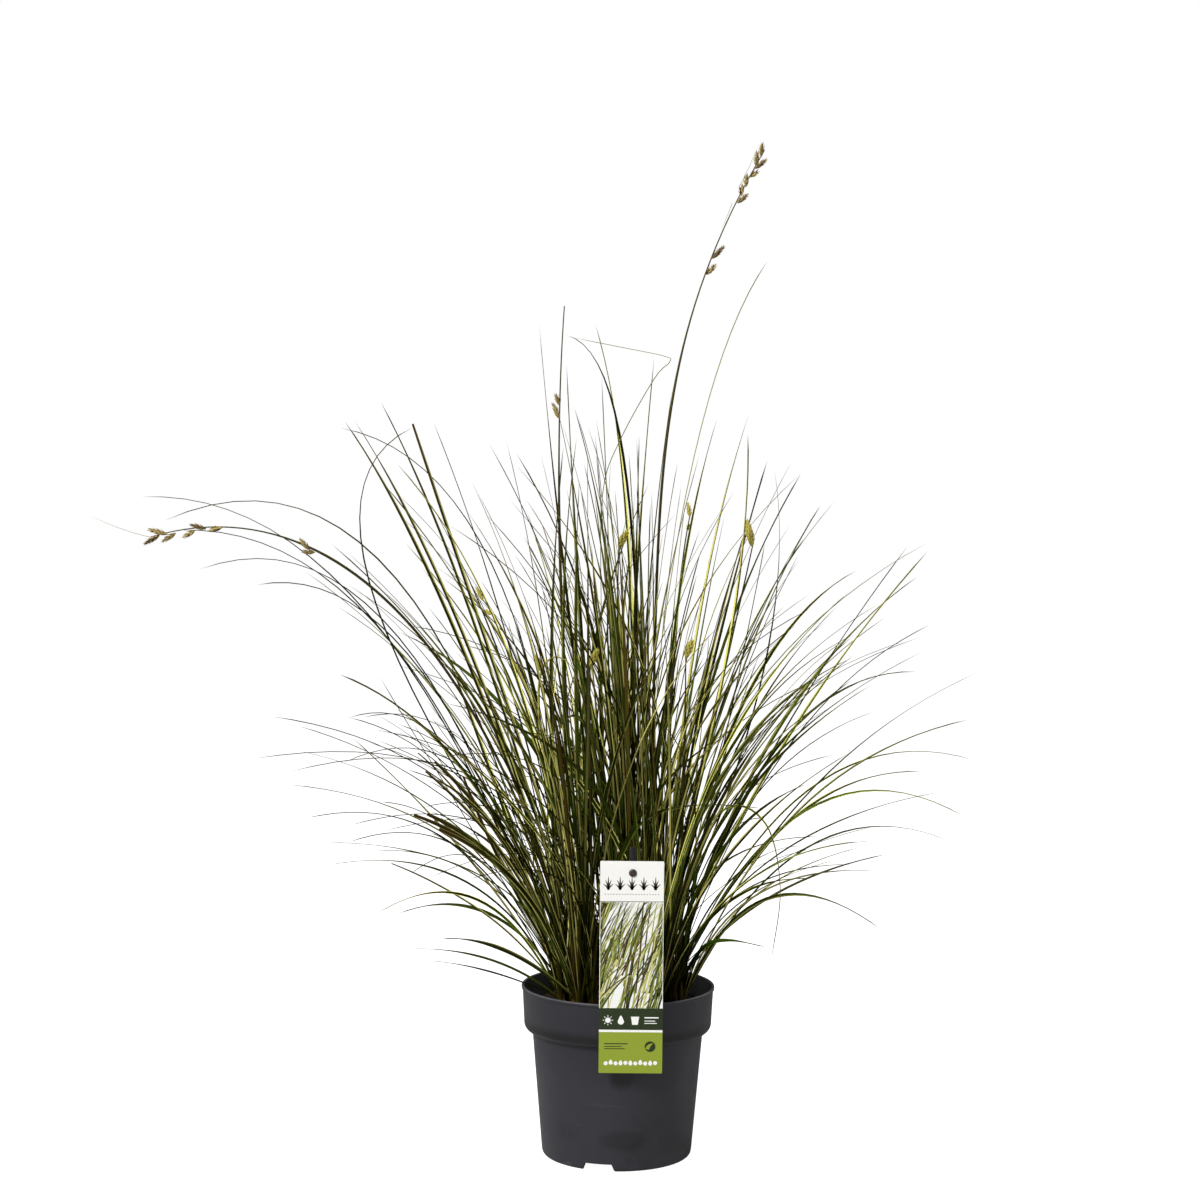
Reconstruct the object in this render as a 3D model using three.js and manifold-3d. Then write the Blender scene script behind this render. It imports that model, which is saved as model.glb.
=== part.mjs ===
// Variegated sedge (a tufted ornamental grass) in a plastic nursery pot, with its label.
// Units are millimetres, +Z up. The origin is the centre of the pot's base, on the ground,
// and the front of the pot, where the label hangs, faces -Y.
import * as THREE from 'three';
import { mergeVertices } from 'three/addons/utils/BufferGeometryUtils.js';
import Module from 'manifold-3d';

const wasm = await Module();
wasm.setup();

// ---- driving dimensions ----
// room between pieces that stand in or against each other
const GAP = 0.35;
// edges shorter than this are closed up where solids are joined
const SHORTEST_EDGE = 0.02;

// pot: an injection-moulded 17 cm nursery pot
const POT_HEIGHT = 150;
const RIM_RADIUS = 85;
const COLLAR_TOP_RADIUS = 84;
const COLLAR_FOOT_RADIUS = 82;
const COLLAR_FOOT_Z = 107.5;
const COLLAR_ROUNDING = 6.5;
const BODY_TOP_RADIUS = 74.8;
const BODY_FOOT_RADIUS = 66.2;
const WALL = 1.6;
const FLOOR_UNDERSIDE = 5.5;
const FLOOR_TOP = 7.5;
const FOOT_RING_WIDTH = 6;
const CENTRE_PAD_RADIUS = 12;
const POT_SIDES = 30;
const NOTCH_COUNT = 3;
const NOTCH_WIDTH = 30;
const NOTCH_HEIGHT = 7;
const NOTCH_FIRST_DEG = -104.5;
const DRAIN_COUNT = 6;
const DRAIN_RADIUS = 4.5;
const DRAIN_CIRCLE = 36;

// soil
const SOIL_TOP = 132;
const SOIL_MOUND = 3;
const SOIL_SIDES = 16;

// shoots: they stand in two clumps, on a spiral of crowns in each
const CLUMPS = [
  { x: -31, y: 2, places: 17 },
  { x: 28, y: 0, places: 27 },
];
const CROWN_SPACING = 5.9;
const GOLDEN_ANGLE = THREE.MathUtils.degToRad(137.5);
const CROWN_FOOT_RADIUS = 3.6;
const CROWN_TOP_RADIUS = 3.2;
const CROWN_SIDES = 5;
const CROWN_FOOT_Z = 119;
const CROWN_TOP_Z = 150;
const PLANT_MIDDLE_X = 2;
const PLANT_RADIUS = 54;

// leaves: keeled blades, wider than they are thick, with roots inside their crown
const LEAVES_PER_SHOOT = 8;
const LEAF_WIDTH = 3.2;
const CUT_LEAF_WIDTH = 3.9;
const LEAF_KEEL = 0.36;
const LEAF_MIN_THICKNESS = 0.62;
const LEAF_ROOT_LOW_Z = 136;
const LEAF_ROOT_HIGH_Z = 147;
const LEAF_LOW_DEG = 60;
const LEAF_LEAST_STEPS = 3;
const LEAF_MOST_STEPS = 6;
const LEAF_BEND_PER_STEP = 33;
const LEAF_TRIES = 40;
const LEAF_CLEARANCE = 0.3;

// free leaves: their lean in degrees, their reach, and the ranges that are drawn from
const LEAN_LEAST_DEG = 3;
const LEAN_SPREAD_DEG = 24;
const LEAN_AT_EDGE_DEG = 40;
const LEAN_LOST_IN_FRONT = 0.35;
const EARLY_LEAN_BACK_DEG = 9;
const LEAF_REACH = 585;
const NO_REACH_LEAN_DEG = 95;
const REACH_RANGE = [0.58, 0.98];
const EARLY_LEAN_RANGE = [0.1, 0.55];
const KNEE_RANGE = [0.5, 0.66];
const WIDTH_RANGE = [0.8, 1.14];
const ROLL_RANGE = [-0.6, 0.6];

// marked leaves: the ranges that are drawn from
const REACHING_DEPTH_RANGE = [-65, 65];
const REACHING_PLAY_RANGE = [-6, 6];
const REACHING_WIDTH_RANGE = [0.95, 1.25];
const REACHING_ROLL_RANGE = [-0.4, 0.4];

// no leaf hangs in the space in front of the pot and its label
const FRONT_Y = -60;
const FRONT_HALF_WIDTH = 48;
const FRONT_TOP_Z = 320;
const RIM_CLEAR_RADIUS = RIM_RADIUS - 5.5;
const RIM_CLEAR_Z = POT_HEIGHT + 2.5;

// leaves that reach out of the mass: tip x, tip z, knee x, knee z; the last flag is a cut tip
const REACHING_LEAVES = [
  [-240, 645, -140, 515], [-235, 645, -135, 480], [-215, 660, -130, 500], [-190, 640, -115, 470, true],
  [-245, 635, -75, 610], [-405, 550, -170, 660], [-430, 570, -200, 580], [-380, 555, -190, 570],
  [-365, 520, -180, 590], [-320, 505, -160, 530], [-190, 635, -332, 560],
  [-70, 730, -52, 500], [-48, 695, -30, 450], [-50, 720, 25, 700], [-27, 730, 25, 560], [23, 705, 12, 450],
  [115, 777, 24, 660], [111, 630, 112, 470], [127, 618, 80, 430], [155, 600, 75, 440],
  [172, 577, 85, 440], [146, 541, 75, 400, true], [187, 558, 95, 420], [141, 602, 165, 440],
  [215, 513, 95, 460], [267, 530, 130, 370], [239, 536, 115, 380], [264, 511, 120, 400],
  [274, 473, 125, 400], [308, 434, 130, 350], [272, 422, 130, 430], [320, 350, 140, 390],
  [272, 337, 135, 350], [311, 299, 150, 386], [282, 287, 140, 340], [230, 208, 115, 300],
  [185, 273, 80, 235], [167, 238, 90, 240],
  [-245, 417, -115, 370], [-240, 388, -125, 415], [-241, 378, -120, 360], [-243, 365, -120, 260],
  [-186, 341, -100, 300, true], [-162, 346, -90, 260, true], [-205, 425, -100, 250],
  [-272, 298, -125, 340], [-221, 296, -120, 315], [-242, 270, -120, 315], [-265, 246, -110, 270],
  [-197, 245, -93, 223, true], [-215, 225, -110, 285], [-197, 204, -105, 235], [-152, 203, -85, 190],
  [-182, 190, -110, 195], [-170, 176, -100, 170],
];

// leaves with a fold or a loop, by points along them from the soil up
const BENT_LEAVES = [
  [
    [-12, 8, 300], [-18, 8, 500], [-17, 7, 585], [-2, 6, 630], [27, 4, 683], [40, 2, 697], [36, 1, 702],
    [0, -2, 709], [-43, -4, 717],
  ],
  [[58, -14, 220], [73, -17, 293], [101, -19, 316], [130, -21, 295], [141, -23, 242], [131, -25, 184]],
  [[57, -24, 163], [75, -28, 190], [96, -31, 196], [128, -34, 191]],
];

// flower stems: the crown place each takes, two knees and the tip, its stretches, and its
// spikelets as [place along the stem 0..1, side angle in degrees, length]
const FLOWER_STEMS = [
  {
    clump: 1, place: 4, steps: 9, curve: [[50, 4, 500], [-8, 2, 660], [120, 0, 880]],
    spikelets: [
      [0.992, 80, 14], [0.965, -90, 12], [0.958, 90, 8], [0.93, -80, 10], [0.854, 70, 12], [0.832, -90, 9],
    ],
  },
  {
    clump: 0, place: 6, steps: 8, curve: [[-110, 6, 440], [-250, 8, 590], [-412, 4, 541]],
    bract: [-465, 4, 559],
    spikelets: [
      [0.97, 80, 14], [0.955, -80, 11], [0.9, 80, 11], [0.87, -100, 9], [0.7, 70, 10], [0.69, -100, 8],
    ],
  },
  {
    clump: 0, place: 3, steps: 7, curve: [[-45, 10, 330], [-64, 8, 560], [-52, 4, 745]],
    spikelets: [[0.83, 180, 12], [0.85, 200, 8]],
  },
  {
    clump: 1, place: 19, steps: 5, curve: [[60, -14, 300], [95, -20, 450], [113, -24, 541]],
    spikelets: [[0.99, 90, 16]],
  },
  {
    clump: 1, place: 13, steps: 5, curve: [[0, -26, 300], [-6, -34, 430], [-3, -40, 540]],
    spikelets: [[0.99, 0, 11]],
  },
  {
    clump: 0, place: 5, steps: 4, curve: [[-26, -34, 260], [-26, -46, 350], [-27, -54, 438]],
    spikelets: [[0.99, 0, 11]],
  },
  {
    clump: 1, place: 21, steps: 4, curve: [[52, -28, 260], [56, -40, 350], [55, -50, 446]],
    spikelets: [[0.99, 40, 11]],
  },
  {
    clump: 0, place: 8, steps: 4, curve: [[-56, 20, 250], [-64, 32, 340], [-69, 44, 424]],
    spikelets: [[0.99, 0, 11]],
  },
  {
    clump: 1, place: 24, steps: 6, curve: [[40, 60, 330], [50, 110, 500], [66, 190, 560]],
    spikelets: [[0.99, 60, 12], [0.94, -90, 9]],
  },
  {
    clump: 0, place: 11, steps: 5, curve: [[-50, 40, 300], [-80, 90, 430], [-130, 165, 480]],
    spikelets: [[0.99, 60, 12], [0.93, -90, 9]],
  },
];
const STEM_FOOT_Z = 142;
const STEM_RADIUS = 1.05;
const STEM_ROOM = 1.25;
const STEM_SHEATH_RADIUS = 2.6;
const SPIKELET_RADIUS = 2;
const SPIKELET_LEAN = 0.35;
const SPIKELET_ROOM = 5;
const SCALE_ROW = 2.6;
const SCALE_SIDES = 6;
const SCALE_OUT = 1.5;
const SCALE_IN = 0.62;
const BRACT_WIDTH = 1.5;

// label and its stake
const LABEL_WIDTH = 54;
const LABEL_HEIGHT = 181.5;
const LABEL_THICKNESS = 0.8;
const LABEL_X = 10.4;
const LABEL_BOTTOM_Z = 92;
const LABEL_CORNER = 1;
const LABEL_BACK_Y = -RIM_RADIUS - 0.4;
const PEG_X = 11;
const PEG_Z = 263.5;
const PEG_RADIUS = 1.7;
const BUTTON_RADIUS = 3.4;
const BUTTON_THICKNESS = 1.4;
const STAKE_WIDTH = 5;
const STAKE_THICKNESS = 2;
const STAKE_TOP_Z = 285;
const STAKE_BEND_Z = 236;
const STAKE_FOOT_Y = -60;
const STAKE_FOOT_Z = 112;
const STAKE_ROOM = 14;
const STAKE_ROOM_Y = -73;

// ---- joining and cutting ----
function solidOf(geometry) {
  const bare = geometry.index ? geometry.clone() : geometry;
  bare.deleteAttribute('normal');
  bare.deleteAttribute('uv');
  const merged = mergeVertices(bare, 1e-4);
  const index = merged.index.array;
  const kept = [];
  for (let i = 0; i < index.length; i += 3) {
    const [a, b, c] = [index[i], index[i + 1], index[i + 2]];
    if (a !== b && b !== c && c !== a) kept.push(a, b, c);
  }
  return new wasm.Manifold(new wasm.Mesh({
    numProp: 3,
    vertProperties: new Float32Array(merged.attributes.position.array),
    triVerts: new Uint32Array(kept),
  }));
}

function geometryOf(solid) {
  const mesh = solid.getMesh();
  const geometry = new THREE.BufferGeometry();
  geometry.setAttribute('position', new THREE.BufferAttribute(mesh.vertProperties, 3));
  geometry.setIndex(new THREE.BufferAttribute(mesh.triVerts, 1));
  geometry.computeVertexNormals();
  return geometry;
}

// the largest connected surface of the union is its outside, so a sealed hollow is filled
function joined(solids) {
  return solids.reduce((whole, solid) => whole.add(solid))
    .simplify(SHORTEST_EDGE)
    .decompose()
    .reduce((outside, piece) => (piece.volume() > outside.volume() ? piece : outside));
}

// a profile of [radius, height] points turned round Z
function turned(profile, sides) {
  const points = profile.map(([radius, height]) => new THREE.Vector2(radius, height));
  return new THREE.LatheGeometry(points, sides).rotateX(Math.PI / 2);
}

// an upright prism or frustum from z0 to z1
function upright(footRadius, topRadius, z0, z1, sides, x = 0, y = 0) {
  return new THREE.CylinderGeometry(topRadius, footRadius, z1 - z0, sides)
    .rotateX(Math.PI / 2)
    .translate(x, y, (z0 + z1) / 2);
}

// ---- repeatable draws ----
function draws(seed) {
  let state = seed * 7919 + 104729;
  const next = () => {
    state = (state * 48271) % 2147483647;
    return state / 2147483647;
  };
  next();
  next();
  return next;
}

function drawn([low, high], next) {
  return low + (high - low) * next();
}

// ---- crown places ----
function crownPlaces() {
  const places = [];
  CLUMPS.forEach((clump, clumpIndex) => {
    for (let i = 0; i < clump.places; i += 1) {
      const radius = CROWN_SPACING * Math.sqrt(i + 0.5);
      const angle = i * GOLDEN_ANGLE;
      places.push({
        clump: clumpIndex,
        place: i,
        x: clump.x + radius * Math.cos(angle),
        y: clump.y + radius * Math.sin(angle),
      });
    }
  });
  return places;
}

// ---- leaf paths ----
// share of the full width at a place along the leaf: narrow foot, widest past the middle
function widthShare(t, cutTip) {
  return (0.68 + 0.8 * t) * (1 - (cutTip ? 0.6 : 1) * t ** 3);
}

function pathPoints(curve, steps) {
  return Array.from({ length: steps + 1 }, (_, i) => curve.getPoint(i / steps));
}

// the more a leaf arches, the more stretches it has
function archedLeaf(root, knee, tip, width, roll, cutTip = false) {
  const bend = THREE.MathUtils.radToDeg(knee.clone().sub(root).angleTo(tip.clone().sub(knee)));
  const steps = Math.min(LEAF_MOST_STEPS, LEAF_LEAST_STEPS + Math.round(bend / LEAF_BEND_PER_STEP));
  const points = pathPoints(new THREE.QuadraticBezierCurve3(root, knee, tip), steps);
  return { points, width, roll, cutTip };
}

// the stretches of a path as thin bars, which others keep clear of
function barsOf(points, radiusAt, owner) {
  const bars = [];
  for (let i = 0; i + 1 < points.length; i += 1) {
    const t0 = i / (points.length - 1);
    const t1 = (i + 1) / (points.length - 1);
    bars.push({
      line: new THREE.Line3(points[i], points[i + 1]),
      radius: Math.max(radiusAt(t0), radiusAt(t1)),
      isFoot: i === 0,
      owner,
    });
  }
  return bars;
}

function leafBars(leaf, owner) {
  return barsOf(leaf.points, (t) => (leaf.width * widthShare(t, leaf.cutTip)) / 2, owner);
}

function isClear(bars, taken) {
  return bars.every((bar) => taken.every((other) => {
    if (other.owner === bar.owner && bar.isFoot && other.isFoot) return true;
    const room = bar.radius + other.radius + LEAF_CLEARANCE;
    return bar.line.distanceSqToLine3(other.line) > room * room;
  }));
}

// leaves pass over the rim, and stay out of the space in front of the pot and its label
function passesRimAndLabel(points) {
  return points.slice(1).every((end, i) => [0, 0.25, 0.5, 0.75, 1].every((share) => {
    const { x, y, z } = points[i].clone().lerp(end, share);
    const overRim = Math.hypot(x, y) < RIM_CLEAR_RADIUS || z > RIM_CLEAR_Z;
    const inFront = y < FRONT_Y && Math.abs(x - LABEL_X) < FRONT_HALF_WIDTH && z < FRONT_TOP_Z;
    return overRim && !inFront;
  }));
}

// a leaf starts on the side of its crown that it leans to, the more leaning ones lower down
function rootIn(shoot, azimuth, leanDegrees) {
  const lowness = Math.min(1, leanDegrees / LEAF_LOW_DEG);
  const radius = CROWN_TOP_RADIUS * (0.25 + 0.5 * lowness);
  return new THREE.Vector3(
    shoot.x + radius * Math.cos(azimuth),
    shoot.y + radius * Math.sin(azimuth),
    LEAF_ROOT_HIGH_Z + (LEAF_ROOT_LOW_Z - LEAF_ROOT_HIGH_Z) * lowness,
  );
}

// the place at a distance from a leaf's root, in the leaf's own upright plane
function placeInPlane(root, azimuth, distance, leanDegrees) {
  const lean = THREE.MathUtils.degToRad(leanDegrees);
  return new THREE.Vector3(
    root.x + distance * Math.sin(lean) * Math.cos(azimuth),
    root.y + distance * Math.sin(lean) * Math.sin(azimuth),
    root.z + distance * Math.cos(lean),
  );
}

// a free leaf: those of outer crowns lean out, those of inner crowns stand up, and the more
// it leans the shorter it reaches
function freeLeaf(shoot, next) {
  const dx = shoot.x - PLANT_MIDDLE_X;
  const edge = Math.min(1, Math.hypot(dx, shoot.y * 1.4) / PLANT_RADIUS);
  const azimuth = Math.atan2(shoot.y, dx) + (next() - 0.5) * 2 * Math.PI * (1 - 0.6 * edge);
  const inFront = Math.max(0, -Math.sin(azimuth));
  const spread = next();
  const lean = (LEAN_LEAST_DEG + LEAN_SPREAD_DEG * spread + edge * LEAN_AT_EDGE_DEG * spread ** 2)
    * (1 - LEAN_LOST_IN_FRONT * inFront);
  const reach = LEAF_REACH * (1 - (lean / NO_REACH_LEAN_DEG) ** 1.6) * drawn(REACH_RANGE, next);
  const earlyLean = lean * drawn(EARLY_LEAN_RANGE, next) - EARLY_LEAN_BACK_DEG * next();
  const kneeReach = reach * drawn(KNEE_RANGE, next);
  const width = LEAF_WIDTH * drawn(WIDTH_RANGE, next);
  const roll = drawn(ROLL_RANGE, next);
  const root = rootIn(shoot, azimuth, lean);
  const knee = placeInPlane(root, azimuth, kneeReach, earlyLean);
  return archedLeaf(root, knee, placeInPlane(root, azimuth, reach, lean), width, roll);
}

// a marked leaf: its tip and knee are given as seen from the front, and its depth is drawn
function reachingLeaf([tipX, tipZ, kneeX, kneeZ, cutTip], shootFor, next) {
  const depth = drawn(REACHING_DEPTH_RANGE, next);
  const shoot = shootFor(tipX, depth, tipZ);
  const azimuth = Math.atan2(depth - shoot.y, tipX - shoot.x);
  const leanDegrees = THREE.MathUtils.radToDeg(Math.atan2(Math.hypot(tipX, depth), tipZ));
  const root = rootIn(shoot, azimuth, leanDegrees);
  const play = () => drawn(REACHING_PLAY_RANGE, next);
  const knee = new THREE.Vector3(
    kneeX + 2 * play(), root.y + (depth - root.y) * 0.4, kneeZ + 2 * play(),
  );
  const tip = new THREE.Vector3(tipX + play(), depth, tipZ + play());
  const width = cutTip ? CUT_LEAF_WIDTH : LEAF_WIDTH * drawn(REACHING_WIDTH_RANGE, next);
  const roll = drawn(REACHING_ROLL_RANGE, next);
  return { shoot, leaf: archedLeaf(root, knee, tip, width, roll, cutTip) };
}

// ---- growing the plant: stems first, then bent and marked leaves, then free ones ----
function uprightBar(x, y, z0, z1, radius, owner) {
  const line = new THREE.Line3(new THREE.Vector3(x, y, z0), new THREE.Vector3(x, y, z1));
  return { line, radius, isFoot: true, owner };
}

function stemPath(stem, place) {
  const foot = new THREE.Vector3(place.x, place.y, STEM_FOOT_Z);
  const [kneeA, kneeB, tip] = stem.curve.map((point) => new THREE.Vector3(...point));
  return pathPoints(new THREE.CubicBezierCurve3(foot, kneeA, kneeB, tip), stem.steps);
}

// the point and the direction at a place 0..1 along a path's stretches
function alongPath(points, share) {
  const steps = points.length - 1;
  const step = Math.min(steps - 1, Math.floor(share * steps));
  return {
    point: points[step].clone().lerp(points[step + 1], share * steps - step),
    along: points[step + 1].clone().sub(points[step]).normalize(),
  };
}

function growStems(places, taken) {
  return FLOWER_STEMS.map((stem, index) => {
    const place = places.find((one) => one.clump === stem.clump && one.place === stem.place);
    const owner = `stem ${index}`;
    const points = stemPath(stem, place);
    taken.push(...barsOf(points, () => STEM_ROOM, owner));
    for (const [share, , length] of stem.spikelets) {
      const { point, along } = alongPath(points, share);
      const line = new THREE.Line3(point, point.clone().addScaledVector(along, length));
      taken.push({ line, radius: SPIKELET_ROOM, owner });
    }
    return { ...stem, place, points };
  });
}

// low leaves grow from the outermost crowns on their side, upright ones from the emptiest
function bestShoot(shoots, x, y, z) {
  const lowness = Math.min(1, Math.hypot(x, y) / (z - SOIL_TOP));
  const reach = (PLANT_RADIUS * lowness) / Math.hypot(x, y);
  const cost = (shoot) => Math.hypot(shoot.x - x * reach, shoot.y - y * reach)
    + (9 - 7 * lowness) * shoot.leaves.length;
  return shoots.reduce((best, shoot) => (cost(shoot) < cost(best) ? shoot : best));
}

function growLeaves(shoots, taken) {
  const settles = (shoot, leaf) => {
    const bars = leafBars(leaf, shoots.indexOf(shoot));
    if (!passesRimAndLabel(leaf.points) || !isClear(bars, taken)) return false;
    taken.push(...bars);
    shoot.leaves.push(leaf);
    return true;
  };
  const shootFor = (x, y, z) => bestShoot(shoots, x, y, z);
  BENT_LEAVES.forEach((bends) => {
    const [first, ...rest] = bends.map((point) => new THREE.Vector3(...point));
    const shoot = shootFor(first.x, first.y, first.z);
    const root = rootIn(shoot, Math.atan2(first.y - shoot.y, first.x - shoot.x), 0);
    const curve = new THREE.CatmullRomCurve3([root, first, ...rest], false, 'catmullrom', 0.5);
    const points = pathPoints(curve, bends.length * 2);
    settles(shoot, { points, width: LEAF_WIDTH, roll: 0, cutTip: false });
  });
  REACHING_LEAVES.forEach((marks, index) => {
    const next = draws(index + 101);
    for (let attempt = 0; attempt < LEAF_TRIES; attempt += 1) {
      const { shoot, leaf } = reachingLeaf(marks, shootFor, next);
      if (settles(shoot, leaf)) break;
    }
  });
  shoots.forEach((shoot, index) => {
    const next = draws(index + 1001);
    for (let slot = shoot.leaves.length; slot < LEAVES_PER_SHOOT; slot += 1) {
      for (let attempt = 0; attempt < LEAF_TRIES; attempt += 1) {
        if (settles(shoot, freeLeaf(shoot, next))) break;
      }
    }
  });
}

function growPlant() {
  const places = crownPlaces();
  const taken = [];
  const stems = growStems(places, taken);
  const shoots = places
    .filter((place) => stems.every((stem) => stem.place !== place))
    .map((place) => ({ ...place, leaves: [] }));
  shoots.forEach((shoot, index) => {
    taken.push(uprightBar(shoot.x, shoot.y, CROWN_FOOT_Z, CROWN_TOP_Z, CROWN_FOOT_RADIUS, index));
  });
  taken.push(uprightBar(PEG_X, STAKE_ROOM_Y, STAKE_FOOT_Z, STAKE_TOP_Z, STAKE_ROOM, 'stake'));
  growLeaves(shoots, taken);
  return { shoots, stems };
}

// ---- solids ----
// the directions across a path and up from it, level at first and carried along the path
// so that they do not twist, all turned by a roll
function framesAlong(points, roll) {
  const last = points.length - 1;
  const chord = points[last].clone().sub(points[0]);
  const level = new THREE.Vector3(-chord.y, chord.x, 0);
  return points.map((point, i) => {
    const along = points[Math.min(i + 1, last)].clone().sub(points[Math.max(i - 1, 0)]).normalize();
    level.addScaledVector(along, -level.dot(along)).normalize();
    const side = level.clone().applyAxisAngle(along, roll);
    return { side, up: new THREE.Vector3().crossVectors(along, side) };
  });
}

// a three-sided bar bent along its points: flat above, keeled below
function keeledBar(points, widthAt, keelAt, roll) {
  const steps = points.length - 1;
  const geometry = new THREE.CylinderGeometry(1, 1, 1, 3, steps);
  const position = geometry.attributes.position;
  const frames = framesAlong(points, roll);
  const vertex = new THREE.Vector3();
  for (let i = 0; i < position.count; i += 1) {
    vertex.fromBufferAttribute(position, i);
    const station = Math.round((vertex.y + 0.5) * steps);
    const t = station / steps;
    const { side, up } = frames[station];
    const across = (vertex.x / Math.sin(Math.PI / 3)) * (widthAt(t) / 2);
    const depth = ((vertex.z + 0.5) / 1.5) * keelAt(t);
    vertex.copy(points[station]).addScaledVector(side, across).addScaledVector(up, depth);
    position.setXYZ(i, vertex.x, vertex.y, vertex.z);
  }
  return geometry;
}

function leafSolid(leaf) {
  const widthAt = (t) => leaf.width * widthShare(t, leaf.cutTip);
  const thicknessAt = (t) => Math.max(LEAF_MIN_THICKNESS, LEAF_KEEL * widthAt(t));
  const keelAt = (t) => (widthAt(t) === 0 ? 0 : -thicknessAt(t));
  return solidOf(keeledBar(leaf.points, widthAt, keelAt, leaf.roll));
}

function shootSolid(shoot) {
  const crown = solidOf(upright(
    CROWN_FOOT_RADIUS, CROWN_TOP_RADIUS, CROWN_FOOT_Z, CROWN_TOP_Z, CROWN_SIDES, shoot.x, shoot.y,
  ));
  return joined([crown, ...shoot.leaves.map(leafSolid)]);
}

// a spikelet: a spindle whose surface is raised into rows of pointed, overlapping scales
function spikeletSolid(foot, along, length) {
  const rows = Math.max(3, Math.round(length / SCALE_ROW));
  const geometry = new THREE.CylinderGeometry(1, 1, 1, SCALE_SIDES, rows + 1);
  const position = geometry.attributes.position;
  const turn = new THREE.Quaternion().setFromUnitVectors(new THREE.Vector3(0, 1, 0), along);
  const vertex = new THREE.Vector3();
  for (let i = 0; i < position.count; i += 1) {
    vertex.fromBufferAttribute(position, i);
    const row = Math.round((vertex.y + 0.5) * (rows + 1));
    const side = Math.round((Math.atan2(vertex.x, vertex.z) / (2 * Math.PI)) * SCALE_SIDES) + SCALE_SIDES;
    const share = row / (rows + 1);
    const isScale = (row + side) % 2 === 0 && row > 0 && row <= rows;
    const fullness = Math.sin(Math.PI * share ** 0.75) ** 0.6 * (row > 0 && row <= rows ? 1 : 0);
    const radius = SPIKELET_RADIUS * fullness * (isScale ? SCALE_OUT : SCALE_IN);
    const height = share + (isScale ? 0.75 / (rows + 1) : 0);
    vertex.set(vertex.x * radius, height * length, vertex.z * radius);
    vertex.applyQuaternion(turn).add(foot);
    position.setXYZ(i, vertex.x, vertex.y, vertex.z);
  }
  return solidOf(geometry);
}

// a long thin leaf that ends a flower stem
function bractSolid(foot, tip) {
  const along = tip.clone().sub(foot);
  const points = [foot.clone().addScaledVector(along, -0.08), foot.clone().addScaledVector(along, 0.4), tip];
  const widthAt = (t) => BRACT_WIDTH * (1 - t);
  return solidOf(keeledBar(points, widthAt, (t) => (t === 1 ? 0 : -LEAF_MIN_THICKNESS), 0));
}

function stemSolid(stem) {
  const widthAt = (t) => STEM_RADIUS * 2 * (1.1 - 0.35 * t);
  const bar = solidOf(keeledBar(stem.points, widthAt, (t) => -0.85 * widthAt(t), 0));
  const sheath = solidOf(upright(
    STEM_SHEATH_RADIUS, STEM_RADIUS, CROWN_FOOT_Z, CROWN_TOP_Z, CROWN_SIDES, stem.place.x, stem.place.y,
  ));
  const spikelets = stem.spikelets.map(([share, sideDegrees, length]) => {
    const { point, along } = alongPath(stem.points, share);
    const level = new THREE.Vector3(-along.y, along.x, 0).normalize();
    const side = level.applyAxisAngle(along, THREE.MathUtils.degToRad(sideDegrees));
    return spikeletSolid(point, along.addScaledVector(side, SPIKELET_LEAN).normalize(), length);
  });
  const bract = stem.bract ? [bractSolid(stem.points.at(-1), new THREE.Vector3(...stem.bract))] : [];
  return joined([sheath, bar, ...spikelets, ...bract]);
}

// the rounded foot of the pot's collar: [radius, height] points at angles on a circle
function collarRounding(radius, angles) {
  return angles.map((degrees) => {
    const angle = THREE.MathUtils.degToRad(degrees);
    return [
      COLLAR_FOOT_RADIUS - COLLAR_ROUNDING + radius * Math.cos(angle),
      COLLAR_FOOT_Z + COLLAR_ROUNDING + radius * Math.sin(angle),
    ];
  });
}

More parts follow.
